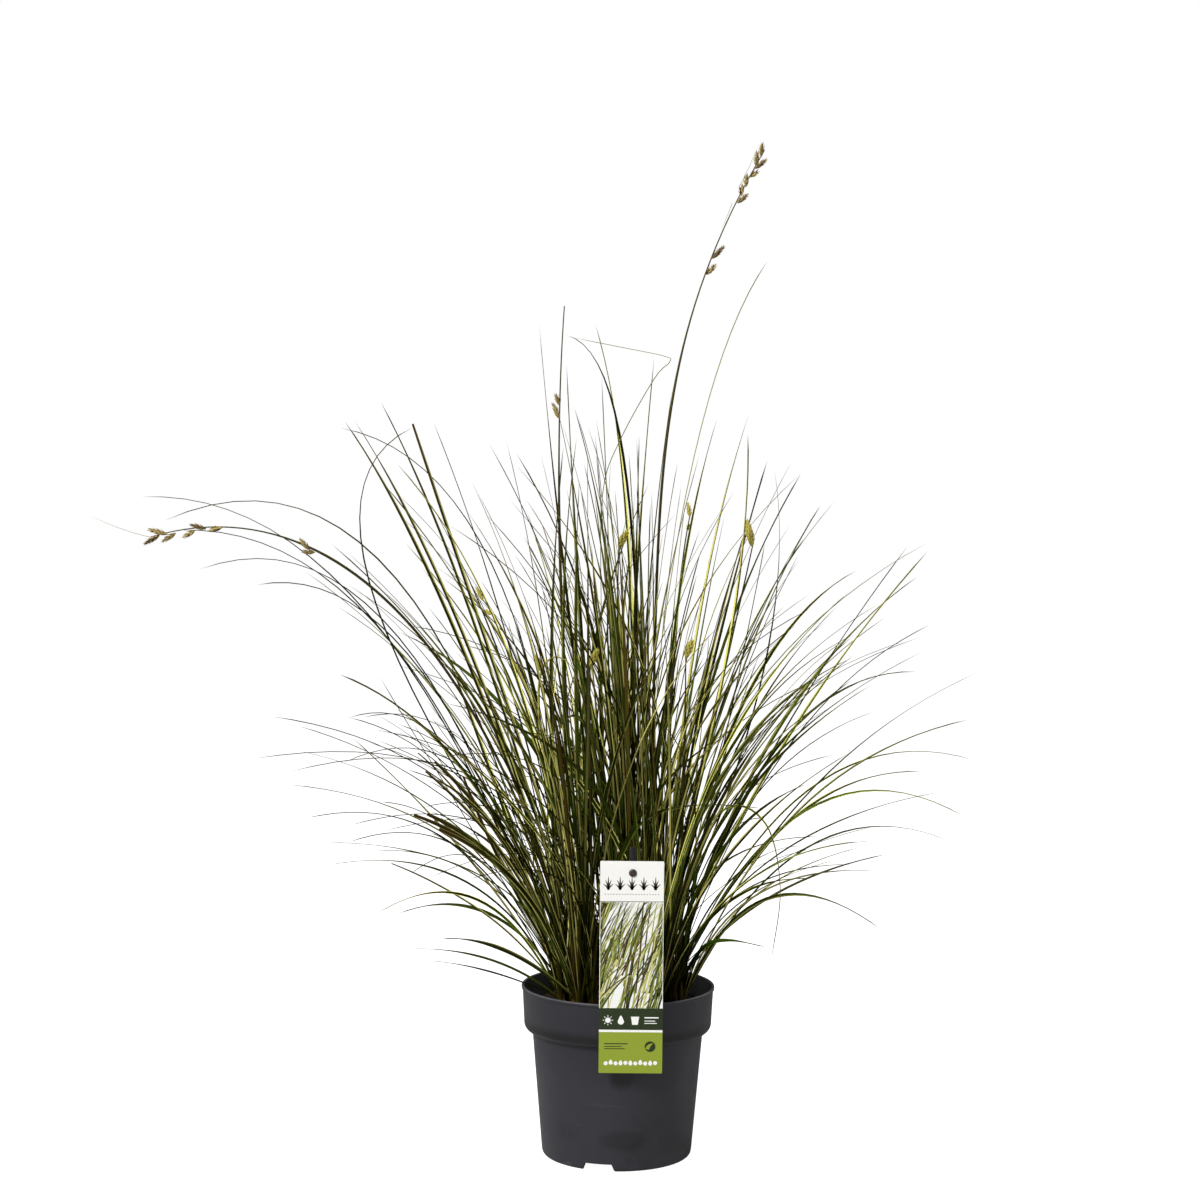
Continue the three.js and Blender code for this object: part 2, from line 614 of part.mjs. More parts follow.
function potSolid() {
  const body = solidOf(turned([
    [0, 0], [CENTRE_PAD_RADIUS, 0], [CENTRE_PAD_RADIUS + 2, FLOOR_UNDERSIDE],
    [BODY_FOOT_RADIUS - 2 - FOOT_RING_WIDTH, FLOOR_UNDERSIDE], [BODY_FOOT_RADIUS - 1 - FOOT_RING_WIDTH, 0],
    [BODY_FOOT_RADIUS - 4.5, 0], [BODY_FOOT_RADIUS - 1.6, 1.6], [BODY_FOOT_RADIUS, 6],
    [BODY_TOP_RADIUS, COLLAR_FOOT_Z - 0.6],
    ...collarRounding(COLLAR_ROUNDING, [-90, -60, -30, 0]),
    [COLLAR_TOP_RADIUS, POT_HEIGHT - 3.4], [RIM_RADIUS, POT_HEIGHT - 2.4], [RIM_RADIUS, POT_HEIGHT - 0.8],
    [RIM_RADIUS - 0.8, POT_HEIGHT], [COLLAR_TOP_RADIUS - WALL, POT_HEIGHT],
    ...collarRounding(COLLAR_ROUNDING - WALL, [0, -90]),
    [BODY_TOP_RADIUS - WALL, COLLAR_FOOT_Z - 2],
    [BODY_FOOT_RADIUS - WALL, FLOOR_TOP + 3], [BODY_FOOT_RADIUS - WALL - 3, FLOOR_TOP], [0, FLOOR_TOP],
  ], POT_SIDES));
  const notches = Array.from({ length: NOTCH_COUNT }, (_, i) => {
    const angle = THREE.MathUtils.degToRad(NOTCH_FIRST_DEG + (360 / NOTCH_COUNT) * i);
    const half = NOTCH_WIDTH / 2;
    const outline = new THREE.Shape([
      new THREE.Vector2(-half, -1), new THREE.Vector2(half, -1),
      new THREE.Vector2(half - 3, NOTCH_HEIGHT), new THREE.Vector2(3 - half, NOTCH_HEIGHT),
    ]);
    const cutter = new THREE.ExtrudeGeometry(outline, { depth: 14, bevelEnabled: false })
      .rotateX(Math.PI / 2)
      .translate(0, BODY_FOOT_RADIUS + 4, 0)
      .rotateZ(angle - Math.PI / 2);
    return solidOf(cutter);
  });
  const drains = Array.from({ length: DRAIN_COUNT }, (_, i) => {
    const angle = ((i + 0.5) / DRAIN_COUNT) * 2 * Math.PI;
    return solidOf(upright(
      DRAIN_RADIUS, DRAIN_RADIUS, FLOOR_UNDERSIDE - 2, FLOOR_TOP + 2, 8,
      DRAIN_CIRCLE * Math.cos(angle), DRAIN_CIRCLE * Math.sin(angle),
    ));
  });
  return [...notches, ...drains].reduce((pot, cutter) => pot.subtract(cutter), body);
}

// the root ball fills the pot, and each crown and the stake stand in a plain hole in it
function soilSolid(crowns) {
  const inset = WALL + 0.9;
  const soil = solidOf(turned([
    [0, FLOOR_TOP + GAP], [BODY_FOOT_RADIUS - inset - 3, FLOOR_TOP + GAP],
    [BODY_FOOT_RADIUS - inset, FLOOR_TOP + 3.6],
    [BODY_TOP_RADIUS - inset, COLLAR_FOOT_Z - 2],
    [COLLAR_FOOT_RADIUS - COLLAR_ROUNDING - 0.6, COLLAR_FOOT_Z + inset],
    [COLLAR_FOOT_RADIUS - inset - 0.7, COLLAR_FOOT_Z + COLLAR_ROUNDING + 0.6],
    [COLLAR_FOOT_RADIUS - inset, SOIL_TOP - 1], [RIM_RADIUS - 10, SOIL_TOP + 0.8],
    [RIM_RADIUS - 28, SOIL_TOP + SOIL_MOUND * 0.7], [0, SOIL_TOP + SOIL_MOUND],
  ], SOIL_SIDES));
  const holes = crowns.map(({ x, y, radius }) => solidOf(upright(
    radius + GAP, radius + GAP, CROWN_FOOT_Z - GAP, SOIL_TOP + 10, CROWN_SIDES, x, y,
  )));
  const slot = new THREE.BoxGeometry(STAKE_WIDTH + 2 * GAP, 12, 40)
    .translate(PEG_X, STAKE_FOOT_Y - 3, STAKE_FOOT_Z - GAP + 20);
  return [...holes, solidOf(slot)].reduce((ball, cutter) => ball.subtract(cutter), soil);
}

// a plastic strip that leans out over the rim, with a peg and button that carry the label
function stakeSolid() {
  const faceY = LABEL_BACK_Y + GAP;
  const outline = new THREE.Shape([
    new THREE.Vector2(STAKE_FOOT_Y - 0.4, STAKE_FOOT_Z),
    new THREE.Vector2(STAKE_FOOT_Y + 0.8, STAKE_FOOT_Z),
    new THREE.Vector2(faceY + STAKE_THICKNESS, STAKE_BEND_Z),
    new THREE.Vector2(faceY + STAKE_THICKNESS, STAKE_TOP_Z),
    new THREE.Vector2(faceY, STAKE_TOP_Z),
    new THREE.Vector2(faceY, STAKE_BEND_Z),
    new THREE.Vector2(STAKE_FOOT_Y - 1.4, STAKE_FOOT_Z + 6),
  ]);
  const strip = new THREE.ExtrudeGeometry(outline, { depth: STAKE_WIDTH, bevelEnabled: false })
    .applyMatrix4(new THREE.Matrix4().set(
      0, 0, 1, PEG_X - STAKE_WIDTH / 2,
      1, 0, 0, 0,
      0, 1, 0, 0,
      0, 0, 0, 1,
    ));
  const disc = (radius, fromY, toY) => new THREE.CylinderGeometry(radius, radius, toY - fromY, 12)
    .translate(PEG_X, (fromY + toY) / 2, PEG_Z);
  const front = LABEL_BACK_Y - LABEL_THICKNESS - GAP;
  return joined([
    solidOf(strip),
    solidOf(disc(PEG_RADIUS, front - 0.5, faceY + 0.5)),
    solidOf(disc(BUTTON_RADIUS, front - BUTTON_THICKNESS, front)),
  ]);
}

function labelSolid() {
  const half = LABEL_WIDTH / 2;
  const low = LABEL_BOTTOM_Z;
  const high = LABEL_BOTTOM_Z + LABEL_HEIGHT;
  const outline = new THREE.Shape();
  const corners = [[-half, low], [half, low], [half, high], [-half, high]];
  corners.forEach(([x, z], i) => {
    const turn = (i * Math.PI) / 2 - Math.PI;
    outline.absarc(
      LABEL_X + x - Math.sign(x) * LABEL_CORNER, z + (i < 2 ? LABEL_CORNER : -LABEL_CORNER),
      LABEL_CORNER, turn, turn + Math.PI / 2, false,
    );
  });
  outline.holes.push(new THREE.Path().absarc(PEG_X, PEG_Z, PEG_RADIUS + GAP, 0, 2 * Math.PI, true));
  const plate = new THREE.ExtrudeGeometry(outline, {
    depth: LABEL_THICKNESS, bevelEnabled: false, curveSegments: 3,
  });
  return solidOf(plate.rotateX(Math.PI / 2).translate(0, LABEL_BACK_Y, 0));
}

// ---- materials ----
const potMaterial = new THREE.MeshStandardMaterial({ color: 0x2e3034, roughness: 0.5, metalness: 0 });
const soilMaterial = new THREE.MeshStandardMaterial({ color: 0x2a1c12, roughness: 1, metalness: 0 });
const leafMaterial = new THREE.MeshStandardMaterial({ color: 0x5b6b2c, roughness: 0.55, metalness: 0 });
const stemMaterial = new THREE.MeshStandardMaterial({ color: 0x6b6a34, roughness: 0.6, metalness: 0 });
const stakeMaterial = new THREE.MeshStandardMaterial({ color: 0x17181a, roughness: 0.4, metalness: 0 });
const labelMaterial = new THREE.MeshStandardMaterial({ color: 0xe9ece4, roughness: 0.35, metalness: 0 });

function part(name, solid, material) {
  const mesh = new THREE.Mesh(geometryOf(solid), material);
  mesh.name = name;
  return mesh;
}

// ---- the plant in its pot ----
const { shoots, stems } = growPlant();
const group = new THREE.Group();
group.add(part('pot', potSolid(), potMaterial));
group.add(part('soil', soilSolid([
  ...shoots.map((shoot) => ({ x: shoot.x, y: shoot.y, radius: CROWN_FOOT_RADIUS })),
  ...stems.map((stem) => ({ x: stem.place.x, y: stem.place.y, radius: STEM_SHEATH_RADIUS })),
]), soilMaterial));
shoots.forEach((shoot, i) => group.add(part(`shoot_${i + 1}`, shootSolid(shoot), leafMaterial)));
stems.forEach((stem, i) => group.add(part(`flower_stem_${i + 1}`, stemSolid(stem), stemMaterial)));
group.add(part('label_stake', stakeSolid(), stakeMaterial));
group.add(part('label', labelSolid(), labelMaterial));

export default group;
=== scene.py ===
# A variegated sedge, a tufted ornamental grass, in a plastic nursery pot with its plant label.
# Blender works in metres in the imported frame, and the sizes below are in millimetres, times MM.
import math

import bmesh
import bpy
import numpy as np
from mathutils import Matrix, Vector, noise


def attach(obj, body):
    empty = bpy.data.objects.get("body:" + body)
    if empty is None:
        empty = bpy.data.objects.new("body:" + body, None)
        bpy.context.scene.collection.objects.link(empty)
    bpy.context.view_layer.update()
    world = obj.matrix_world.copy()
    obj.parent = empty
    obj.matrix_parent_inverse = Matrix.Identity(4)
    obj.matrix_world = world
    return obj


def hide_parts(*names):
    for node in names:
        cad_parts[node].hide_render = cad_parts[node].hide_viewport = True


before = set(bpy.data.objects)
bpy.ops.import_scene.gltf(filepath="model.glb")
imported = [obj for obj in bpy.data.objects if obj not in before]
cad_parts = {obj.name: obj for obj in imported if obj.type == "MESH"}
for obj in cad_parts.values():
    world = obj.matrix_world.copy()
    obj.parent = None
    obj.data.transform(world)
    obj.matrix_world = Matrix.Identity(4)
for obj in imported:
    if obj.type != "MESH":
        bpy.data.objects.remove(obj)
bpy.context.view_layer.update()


# ---- the camera ----
# A studio camera 2.2 m in front of the pot at half the plant's height, tilted a few degrees down
# and rolled by half a degree, with a long lens.
MM = 0.001
camera = bpy.data.objects.new("camera", bpy.data.cameras.new("camera"))
bpy.context.scene.collection.objects.link(camera)
camera.data.lens = 75.63
camera.data.sensor_width = 36
camera.matrix_world = (
    Matrix.Translation(Vector((-18.8, -2200, 620)) * MM)
    @ Matrix.Rotation(math.radians(90 - 3.4), 4, "X")
    @ Matrix.Rotation(math.radians(0.5), 4, "Z")
)
bpy.context.scene.camera = camera


# ---- the studio ----
# A plain white floor that runs out into a white background, a large soft light from the front
# left, a weaker one from the right, and two behind that outline the leaves.
def paint(red, green, blue):
    """A paint's colour from screen values of 0 to 255."""
    shares = [value / 255 for value in (red, green, blue)]
    return (*[s / 12.92 if s <= 0.04045 else ((s + 0.055) / 1.055) ** 2.4 for s in shares], 1.0)


def feed(tree, node, inputs):
    """Gives a node its inputs. One that is a socket is linked, and any other is set."""
    for name, value in dict(inputs).items():
        if isinstance(value, bpy.types.NodeSocket):
            tree.links.new(value, node.inputs[name])
        else:
            node.inputs[name].default_value = value


def add(tree, kind, inputs=(), **settings):
    """Adds a shader node with its settings and inputs."""
    made = tree.nodes.new("ShaderNode" + kind)
    for name, value in settings.items():
        setattr(made, name, value)
    feed(tree, made, inputs)
    return made


def new_material(name):
    """A material with only its Principled shader: the material, its nodes and that shader."""
    material = bpy.data.materials.new(name)
    material.use_nodes = True
    return material, material.node_tree, material.node_tree.nodes["Principled BSDF"]


def put_in_scene(name, bm, *materials):
    """Makes a bmesh an object at the origin, with its materials."""
    mesh = bpy.data.meshes.new(name)
    bm.to_mesh(mesh)
    bm.free()
    for material in materials:
        mesh.materials.append(material)
    piece = bpy.data.objects.new(name, mesh)
    bpy.context.scene.collection.objects.link(piece)
    return piece


bpy.context.scene.view_settings.view_transform = "Standard"
world = bpy.data.worlds.new("studio")
bpy.context.scene.world = world
world.use_nodes = True
sky = world.node_tree.nodes["Background"]
seen = add(world.node_tree, "LightPath").outputs["Is Camera Ray"]
strength = add(world.node_tree, "MapRange", {"Value": seen, "To Min": 0.07, "To Max": 1.0})
feed(world.node_tree, sky, {"Strength": strength.outputs["Result"], "Color": (1, 1, 1, 1)})

floor_paint, tree, floor_shader = new_material("white floor paint")
seen = add(tree, "LightPath").outputs["Is Camera Ray"]
glow = add(tree, "MapRange", {"Value": seen, "To Min": 0.05, "To Max": 0.98}).outputs["Result"]
feed(tree, floor_shader, {
    "Base Color": (0.4, 0.4, 0.4, 1), "Roughness": 0.9,
    "Emission Color": (1, 1, 1, 1), "Emission Strength": glow,
})
bm = bmesh.new()
bmesh.ops.create_circle(bm, cap_ends=True, segments=64, radius=9.0)
floor = put_in_scene("studio_floor", bm, floor_paint)

SOFT_LIGHTS = [
    # name, place, aimed at, size in metres, watts
    ("key", (-1.7, -2.2, 2.4), (0, 0, 0.45), 0.9, 128),
    ("fill", (2.3, -1.9, 1.2), (0, 0, 0.35), 1.2, 14),
    ("left_outline", (-2.0, 1.6, 1.6), (0, 0, 0.4), 1.0, 22),
    ("right_outline", (2.0, 1.6, 1.7), (0, 0, 0.4), 1.0, 22),
]
for name, place, aim, size, watts in SOFT_LIGHTS:
    light = bpy.data.objects.new(name, bpy.data.lights.new(name, "AREA"))
    light.data.size = size
    light.data.energy = watts
    light.location = place
    light.rotation_euler = (Vector(aim) - Vector(place)).to_track_quat("-Z", "Y").to_euler()
    light.visible_camera = False
    bpy.context.scene.collection.objects.link(light)


# ---- the pot ----
# A 17 cm nursery pot, injection moulded in dark recycled plastic: a thick collar with a small
# lip, a tapered body, a foot ring with three notches, and drain holes in a raised floor.
def spun(bm, corners, steps):
    """Spins a profile of [radius, height, rounding] corners, with its corners rounded."""
    points = [bm.verts.new((radius * MM, 0, height * MM)) for radius, height, _ in corners]
    for start, end in zip(points, points[1:]):
        bm.edges.new((start, end))
    for point, (_, _, rounding) in zip(points, corners):
        if rounding:
            bmesh.ops.bevel(
                bm, geom=[point], offset=rounding * MM, segments=5 if rounding > 2 else 3,
                profile=0.5, affect="VERTICES", material=-1,
            )
    bmesh.ops.spin(
        bm, geom=bm.verts[:] + bm.edges[:], cent=(0, 0, 0), axis=(0, 0, 1),
        angle=2 * math.pi, steps=steps, use_merge=True,
    )
    bmesh.ops.remove_doubles(bm, verts=bm.verts, dist=0.01 * MM)
    bmesh.ops.recalc_face_normals(bm, faces=bm.faces)


def extrude(bm, faces, along):
    """Extrudes faces by a vector, and turns all faces outwards."""
    made = bmesh.ops.extrude_face_region(bm, geom=faces)["geom"]
    points = [point for point in made if isinstance(point, bmesh.types.BMVert)]
    bmesh.ops.translate(bm, vec=Vector(along) * MM, verts=points)
    bmesh.ops.recalc_face_normals(bm, faces=bm.faces)


def cut(piece, cutter):
    """Cuts a closed solid out of a piece, and removes the cutter."""
    boolean = piece.modifiers.new("cut", "BOOLEAN")
    boolean.operation = "DIFFERENCE"
    boolean.solver = "EXACT"
    boolean.object = cutter
    evaluated = piece.evaluated_get(bpy.context.evaluated_depsgraph_get())
    carved = bpy.data.meshes.new_from_object(evaluated)
    piece.modifiers.clear()
    piece.data = carved
    bpy.data.objects.remove(cutter)


def smooth_to(piece, degrees):
    """Shades a piece smooth, with a crease at every edge sharper than this."""
    piece.data.shade_smooth()
    piece.data.set_sharp_from_angle(angle=math.radians(degrees))


POT_CORNERS = [
    (0, 0, 0), (12, 0, 0.8), (14, 5.5, 0.8), (58.2, 5.5, 0.8), (59.2, 0, 0.5), (62.7, 0, 1.6),
    (65.6, 1.6, 1.8), (66.2, 6, 0), (75.1, 110.5, 0.5), (82.1, 110.5, 6.0), (84, 146.7, 0.4),
    (85, 147.5, 0.4), (85, 150, 0.8), (82.4, 150, 0.4), (80.5, 112.1, 4.5), (73.6, 112.1, 0.6),
    (64.6, 7.5, 2.6), (0, 7.5, 0),
]
NOTCH_CENTRES = [-104.5, 15.5, 135.5]
# dark spots on the pot's front: the first is a painted shadow under the label, the second a darker patch low
# on the body
LABEL_SHADOW_AND_DARK_PATCH = [
    # middle, stretch, reach in metres, strength
    ((0.004, -0.074, 0.085), (1, 1, 1), 0.018, 0.8),
    ((0.008, -0.068, 0.028), (0.85, 1, 2), 0.027, 0.5),
]
DRAIN_CENTRES = [30, 90, 150, 210, 270, 330]
DRAIN_REACH, DRAIN_RADIUS = 36, 4.5


def new_group(name, given, handed):
    """A shader node group with number inputs, its outputs, and the node that takes each of both."""
    group = bpy.data.node_groups.new(name, "ShaderNodeTree")
    for socket in given:
        group.interface.new_socket(socket, in_out="INPUT", socket_type="NodeSocketFloat")
    for socket in handed:
        kind = "NodeSocketVector" if socket == "Normal" else "NodeSocketFloat"
        group.interface.new_socket(socket, in_out="OUTPUT", socket_type=kind)
    return group, group.nodes.new("NodeGroupInput").outputs, group.nodes.new("NodeGroupOutput")


def object_place(tree):
    """A point's place on the object."""
    return add(tree, "TexCoord").outputs["Object"]


def parts_of(tree, vector):
    """The x, y and z of a vector."""
    return add(tree, "SeparateXYZ", {"Vector": vector}).outputs


def noise_of(tree, place, size, detail, roughness=0.5):
    """A cloudy pattern of 0 to 1."""
    return add(tree, "TexNoise", {
        "Vector": place, "Scale": size, "Detail": detail, "Roughness": roughness,
    }).outputs["Fac"]


def bumps_of(tree, height, strength, distance):
    """A surface normal from a height."""
    return add(tree, "Bump", {
        "Height": height, "Strength": strength, "Distance": distance,
    }).outputs["Normal"]


def between(tree, value, low, high, to_low=0.0, to_high=1.0):
    """A straight slope: to_low where a value is at low or before it, to_high at high or beyond."""
    return add(tree, "MapRange", {
        "Value": value, "From Min": low, "From Max": high, "To Min": to_low, "To Max": to_high,
    }).outputs["Result"]


def mixed(tree, share, first, second):
    """Blends two colours by a share, or by a socket that gives it."""
    return add(tree, "Mix", {"Factor": share, 6: first, 7: second}, data_type="RGBA").outputs[2]


def math_of(tree, operation, first, second=0.0):
    """One sum on two numbers or sockets."""
    return add(tree, "Math", {0: first, 1: second}, operation=operation).outputs["Value"]


def times(tree, first, second):
    """The product of two numbers or sockets."""
    return math_of(tree, "MULTIPLY", first, second)


def coated(tree, colour, coats):
    """Lays coats over a colour. Each has a share, how strong it is, and its paint."""
    for share, strength, over in coats:
        colour = mixed(tree, times(tree, share, strength), colour, over)
    return colour


# plastic: a fine moulded grain, with patches that are a little duller
plastic_grain, given, handed = new_group(
    "plastic grain", ("Grain Size", "Depth"), ("Normal", "Roughness", "Mottle"),
)
place = object_place(plastic_grain)
fine = noise_of(plastic_grain, place, given["Grain Size"], 3)
broad = noise_of(plastic_grain, place, 26, 4, 0.6)
feed(plastic_grain, handed, {
    "Normal": bumps_of(plastic_grain, fine, given["Depth"], 0.0004),
    "Roughness": between(plastic_grain, broad, 0.3, 0.7, 0.4, 0.56),
    "Mottle": broad,
})

pot_plastic, tree, shader = new_material("dark moulded plastic")
grain = add(tree, "Group", {"Grain Size": 1400, "Depth": 0.25}, node_tree=plastic_grain)
place = object_place(tree)
x, y, z = parts_of(tree, place)
blotches = noise_of(tree, place, 21, 7, 0.62)
low = between(tree, z, 0.085, 0.01)
dust = times(tree, between(tree, blotches, 0.52, 0.68), low)
coats = [(between(tree, z, 0.112, 0.07), 0.42, paint(56, 55, 62)), (dust, 0.7, paint(26, 20, 17))]
# the painted shadow under the label, and the darker patch low on the front
for middle, stretch, reach, share in LABEL_SHADOW_AND_DARK_PATCH:
    off = add(tree, "VectorMath", {0: place, 1: middle}, operation="SUBTRACT").outputs["Vector"]
    off = add(tree, "VectorMath", {0: off, 1: stretch}, operation="MULTIPLY").outputs["Vector"]
    distance = add(tree, "VectorMath", {0: off}, operation="LENGTH").outputs["Value"]
    ragged = math_of(tree, "ADD", distance, times(tree, blotches, 0.008))
    coats.append((between(tree, ragged, reach, reach * 0.6), share, paint(14, 12, 12)))
stretched = add(tree, "Mapping", {"Vector": place, "Scale": (34, 34, 260)}).outputs["Vector"]
scratches = noise_of(tree, stretched, 1, 2)
scuffed = times(tree, between(tree, scratches, 0.69, 0.73), low)
# the top of the rim is painted lighter: partly wear, and partly a painted highlight along the rim
rim_wear_and_highlight = between(tree, z, 0.1488, 0.1497)
flat = add(tree, "CombineXYZ", {"X": x, "Y": y}).outputs["Vector"]
radius = add(tree, "VectorMath", {0: flat}, operation="LENGTH").outputs["Value"]
# the inner wall above the collar's floor is painted near black, as painted shade inside the pot
painted_inner_shade = times(tree, between(tree, radius, 0.0828, 0.0825), between(tree, z, 0.113, 0.115))
coats += [
    (scuffed, 0.25, paint(96, 94, 92)), (rim_wear_and_highlight, 0.5, paint(104, 104, 108)), (painted_inner_shade, 0.95, paint(10, 8, 7)),
]
colour = mixed(tree, grain.outputs["Mottle"], paint(32, 31, 37), paint(44, 43, 50))
feed(tree, shader, {
    "Base Color": coated(tree, colour, coats),
    "Roughness": grain.outputs["Roughness"], "Normal": grain.outputs["Normal"],
})

bm = bmesh.new()
spun(bm, POT_CORNERS, 120)
pot = put_in_scene("nursery_pot", bm, pot_plastic)
for degrees in NOTCH_CENTRES:
    bm = bmesh.new()
    notch = [bm.verts.new(Vector((52, y, z)) * MM) for y, z in ((-15, -1), (15, -1), (12, 7), (-12, 7))]
    extrude(bm, [bm.faces.new(notch)], (20, 0, 0))
    turn = Matrix.Rotation(math.radians(degrees), 3, "Z")
    bmesh.ops.rotate(bm, cent=(0, 0, 0), matrix=turn, verts=bm.verts)
    cut(pot, put_in_scene("notch_cutter", bm))
for degrees in DRAIN_CENTRES:
    bm = bmesh.new()
    middle = Matrix.Translation((DRAIN_REACH * MM, 0, 6.5 * MM))
    bmesh.ops.create_cone(
        bm, cap_ends=True, segments=24, radius1=DRAIN_RADIUS * MM, radius2=DRAIN_RADIUS * MM,
        depth=6 * MM, matrix=Matrix.Rotation(math.radians(degrees), 4, "Z") @ middle,
    )
    cut(pot, put_in_scene("drain_cutter", bm))
smooth_to(pot, 32)
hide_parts("pot")
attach(pot, "root")


# ---- the soil ----
# The root ball fills the pot to 18 mm under the rim. Its top is dark peat with bark crumbs,
# pressed down a little unevenly round the crowns.
CRUMBS, CRUMB_REACH = 420, 78
SOIL_CORNERS = [
    (0, 7.85, 0), (60.7, 7.85, 0), (63.7, 11.1, 0), (72.5, 108.5, 0), (75.1, 113, 0), (78.8, 117.6, 0),
    (79.5, 130.5, 0),
]
bm = bmesh.new()
mound = [(79.5 - 2.65 * i, 131.5 + 3.3 * math.sin(math.pi / 2 * min(1, i / 18)), 0) for i in range(1, 31)]
spun(bm, SOIL_CORNERS + mound, 96)
for vertex in bm.verts:
    if vertex.co.z > 0.129:
        radius = math.hypot(vertex.co.x, vertex.co.y)
        freedom = min(1.0, max(0.0, (0.0795 - radius) / 0.004))
        lumps = noise.fractal(vertex.co * 90, 0.7, 2.2, 5) * 2.2 + noise.noise(vertex.co * 24) * 1.1
        vertex.co.z += freedom * lumps * MM
tints = bm.verts.layers.float.new("tint")
for number in range(CRUMBS):
    turn = number * 2.39996
    reach = CRUMB_REACH * math.sqrt((number + 0.5) / CRUMBS)
    middle = Vector((reach * math.cos(turn), reach * math.sin(turn), 0)) * MM
    middle.z = (134.6 - 2.6 * (reach / CRUMB_REACH) ** 3 + 0.6 * noise.noise(middle * 900)) * MM
    size = 1.0 + 1.4 * abs(noise.noise(middle * 2300 + Vector((number, 0, 0))))
    shape = Matrix.LocRotScale(
        middle, Vector((math.cos(number * 1.7), math.sin(number * 2.3), 0.7)).to_track_quat("Z", "Y"),
        Vector((1.4, 0.9, 0.7)) * size,
    )
    crumb = bmesh.ops.create_icosphere(bm, subdivisions=1, radius=1.0 * MM, matrix=shape)["verts"]
    for vertex in crumb:
        vertex[tints] = (number * 0.618) % 1


def carried(tree, name):
    """A value that the points of a piece carry."""
    return add(tree, "Attribute", attribute_name=name).outputs["Fac"]


peat, tree, shader = new_material("peat and bark")
place = object_place(tree)
clods = noise_of(tree, place, 240, 9, 0.7)
fibres = add(tree, "TexVoronoi", {"Vector": place, "Scale": 520}).outputs["Distance"]
colour = mixed(tree, between(tree, clods, 0.35, 0.7), paint(15, 10, 7), paint(42, 29, 20))
colour = coated(tree, colour, [(carried(tree, "tint"), 0.55, paint(70, 47, 31))])
height = math_of(tree, "ADD", clods, times(tree, fibres, 0.6))
feed(tree, shader, {
    "Base Color": colour, "Roughness": 0.95, "Specular IOR Level": 0.2,
    "Normal": bumps_of(tree, height, 0.9, 0.0015),
})
soil = put_in_scene("root_ball", bm, peat)
smooth_to(soil, 50)
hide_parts("soil")
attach(soil, "root")


# ---- the crown places ----
# The plant grows as two clumps. In each, the crowns stand on a spiral, and ten of the places
# carry a flower stem in place of a leafy shoot.
CLUMPS = [(-31, 2, 17), (28, 0, 27)]
CROWN_SPACING = 5.9
CROWN_FOOT_Z, CROWN_TOP_Z = 119, 150
crown_places = []
for clump, (middle_x, middle_y, count) in enumerate(CLUMPS):
    for place in range(count):
        reach = CROWN_SPACING * math.sqrt(place + 0.5)
        angle = place * math.radians(137.5)
        x, y = middle_x + reach * math.cos(angle), middle_y + reach * math.sin(angle)
        crown_places.append((clump, place, x, y))


# ---- the flower stems ----
# Stiff, thin stems with a brown sheath at the foot. Each carries brown or unripe, greenish
# spikelets, which are packed spirals of pointed fruits. Two stems have hair-thin bracts as well.
FLOWER_STEMS = [
    # clump, place, stretches, two knees and the tip, spikelets as [share, side angle, length]
    (1, 4, 9, [(50, 4, 500), (-8, 2, 660), (120, 0, 880)],
     [(0.992, 80, 9), (0.965, -90, 6), (0.952, 90, 8), (0.93, -80, 9), (0.854, -70, 12), (0.832, -90, 9)]),
    (0, 6, 8, [(-110, 6, 440), (-250, 8, 590), (-412, 4, 541)],
     [(0.97, 80, 14), (0.955, -80, 11), (0.9, 80, 11), (0.87, -100, 9), (0.7, 70, 10), (0.69, -100, 8)]),
    (0, 3, 7, [(-45, 10, 330), (-64, 8, 560), (-52, 4, 745)], [(0.83, 180, 12), (0.85, 200, 8)]),
    (1, 19, 5, [(60, -14, 300), (95, -20, 450), (113, -24, 541)], [(0.99, 90, 16)]),
    (1, 13, 5, [(0, -26, 300), (-6, -34, 430), (-3, -40, 540)], [(0.99, 0, 11)]),
    (0, 5, 4, [(-26, -34, 260), (-26, -46, 350), (-27, -54, 438)], [(0.99, 0, 11)]),
    (1, 21, 4, [(52, -28, 260), (56, -40, 350), (55, -50, 446)], [(0.99, 40, 11)]),
    (0, 8, 4, [(-56, 20, 250), (-64, 32, 340), (-69, 44, 424)], [(0.99, 0, 11)]),
    (1, 24, 6, [(40, 60, 330), (50, 110, 500), (66, 190, 560)], [(0.99, 60, 12), (0.94, -90, 9)]),
    (0, 11, 5, [(-50, 40, 300), (-80, 90, 430), (-130, 165, 480)], [(0.99, 60, 12), (0.93, -90, 9)]),
]
BRACTS = {
    # stem: the foot and the tip of each
    0: [((98, 2, 848), (116, 2, 887)), ((93, 2, 836), (83, 2, 811))],
    1: [((-408, 4, 540), (-465, 4, 559))],
}
PLUMP_STEMS = (3, 4, 5, 6, 7)
UNRIPE_STEMS = (*PLUMP_STEMS, 8, 9)
MORE_SPIKELETS = {
    0: [(0.979, 95, 10), (0.976, -90, 10), (0.94, 100, 7)],
    1: [(0.985, -60, 12), (0.92, -70, 9)],
}
STEM_FOOT_Z = 142
SPIKELET_LEAN = 0.45
# the strips of a stem are its skin, its sheath and its bracts, and each spikelet's fruits follow
FIRST_SPIKELET_NUMBER, NUMBERS_PER_SPIKELET = 10, 40


def on_curve(corners, shares):
    """Points of a Bezier curve through its first and last corner, at shares 0 to 1."""
    corners = np.array(corners, float)
    t = np.asarray(shares, float)[:, None]
    if len(corners) == 3:
        return (1 - t) ** 2 * corners[0] + 2 * (1 - t) * t * corners[1] + t ** 2 * corners[2]
    return (
        (1 - t) ** 3 * corners[0] + 3 * (1 - t) ** 2 * t * corners[1]
        + 3 * (1 - t) * t ** 2 * corners[2] + t ** 3 * corners[3]
    )


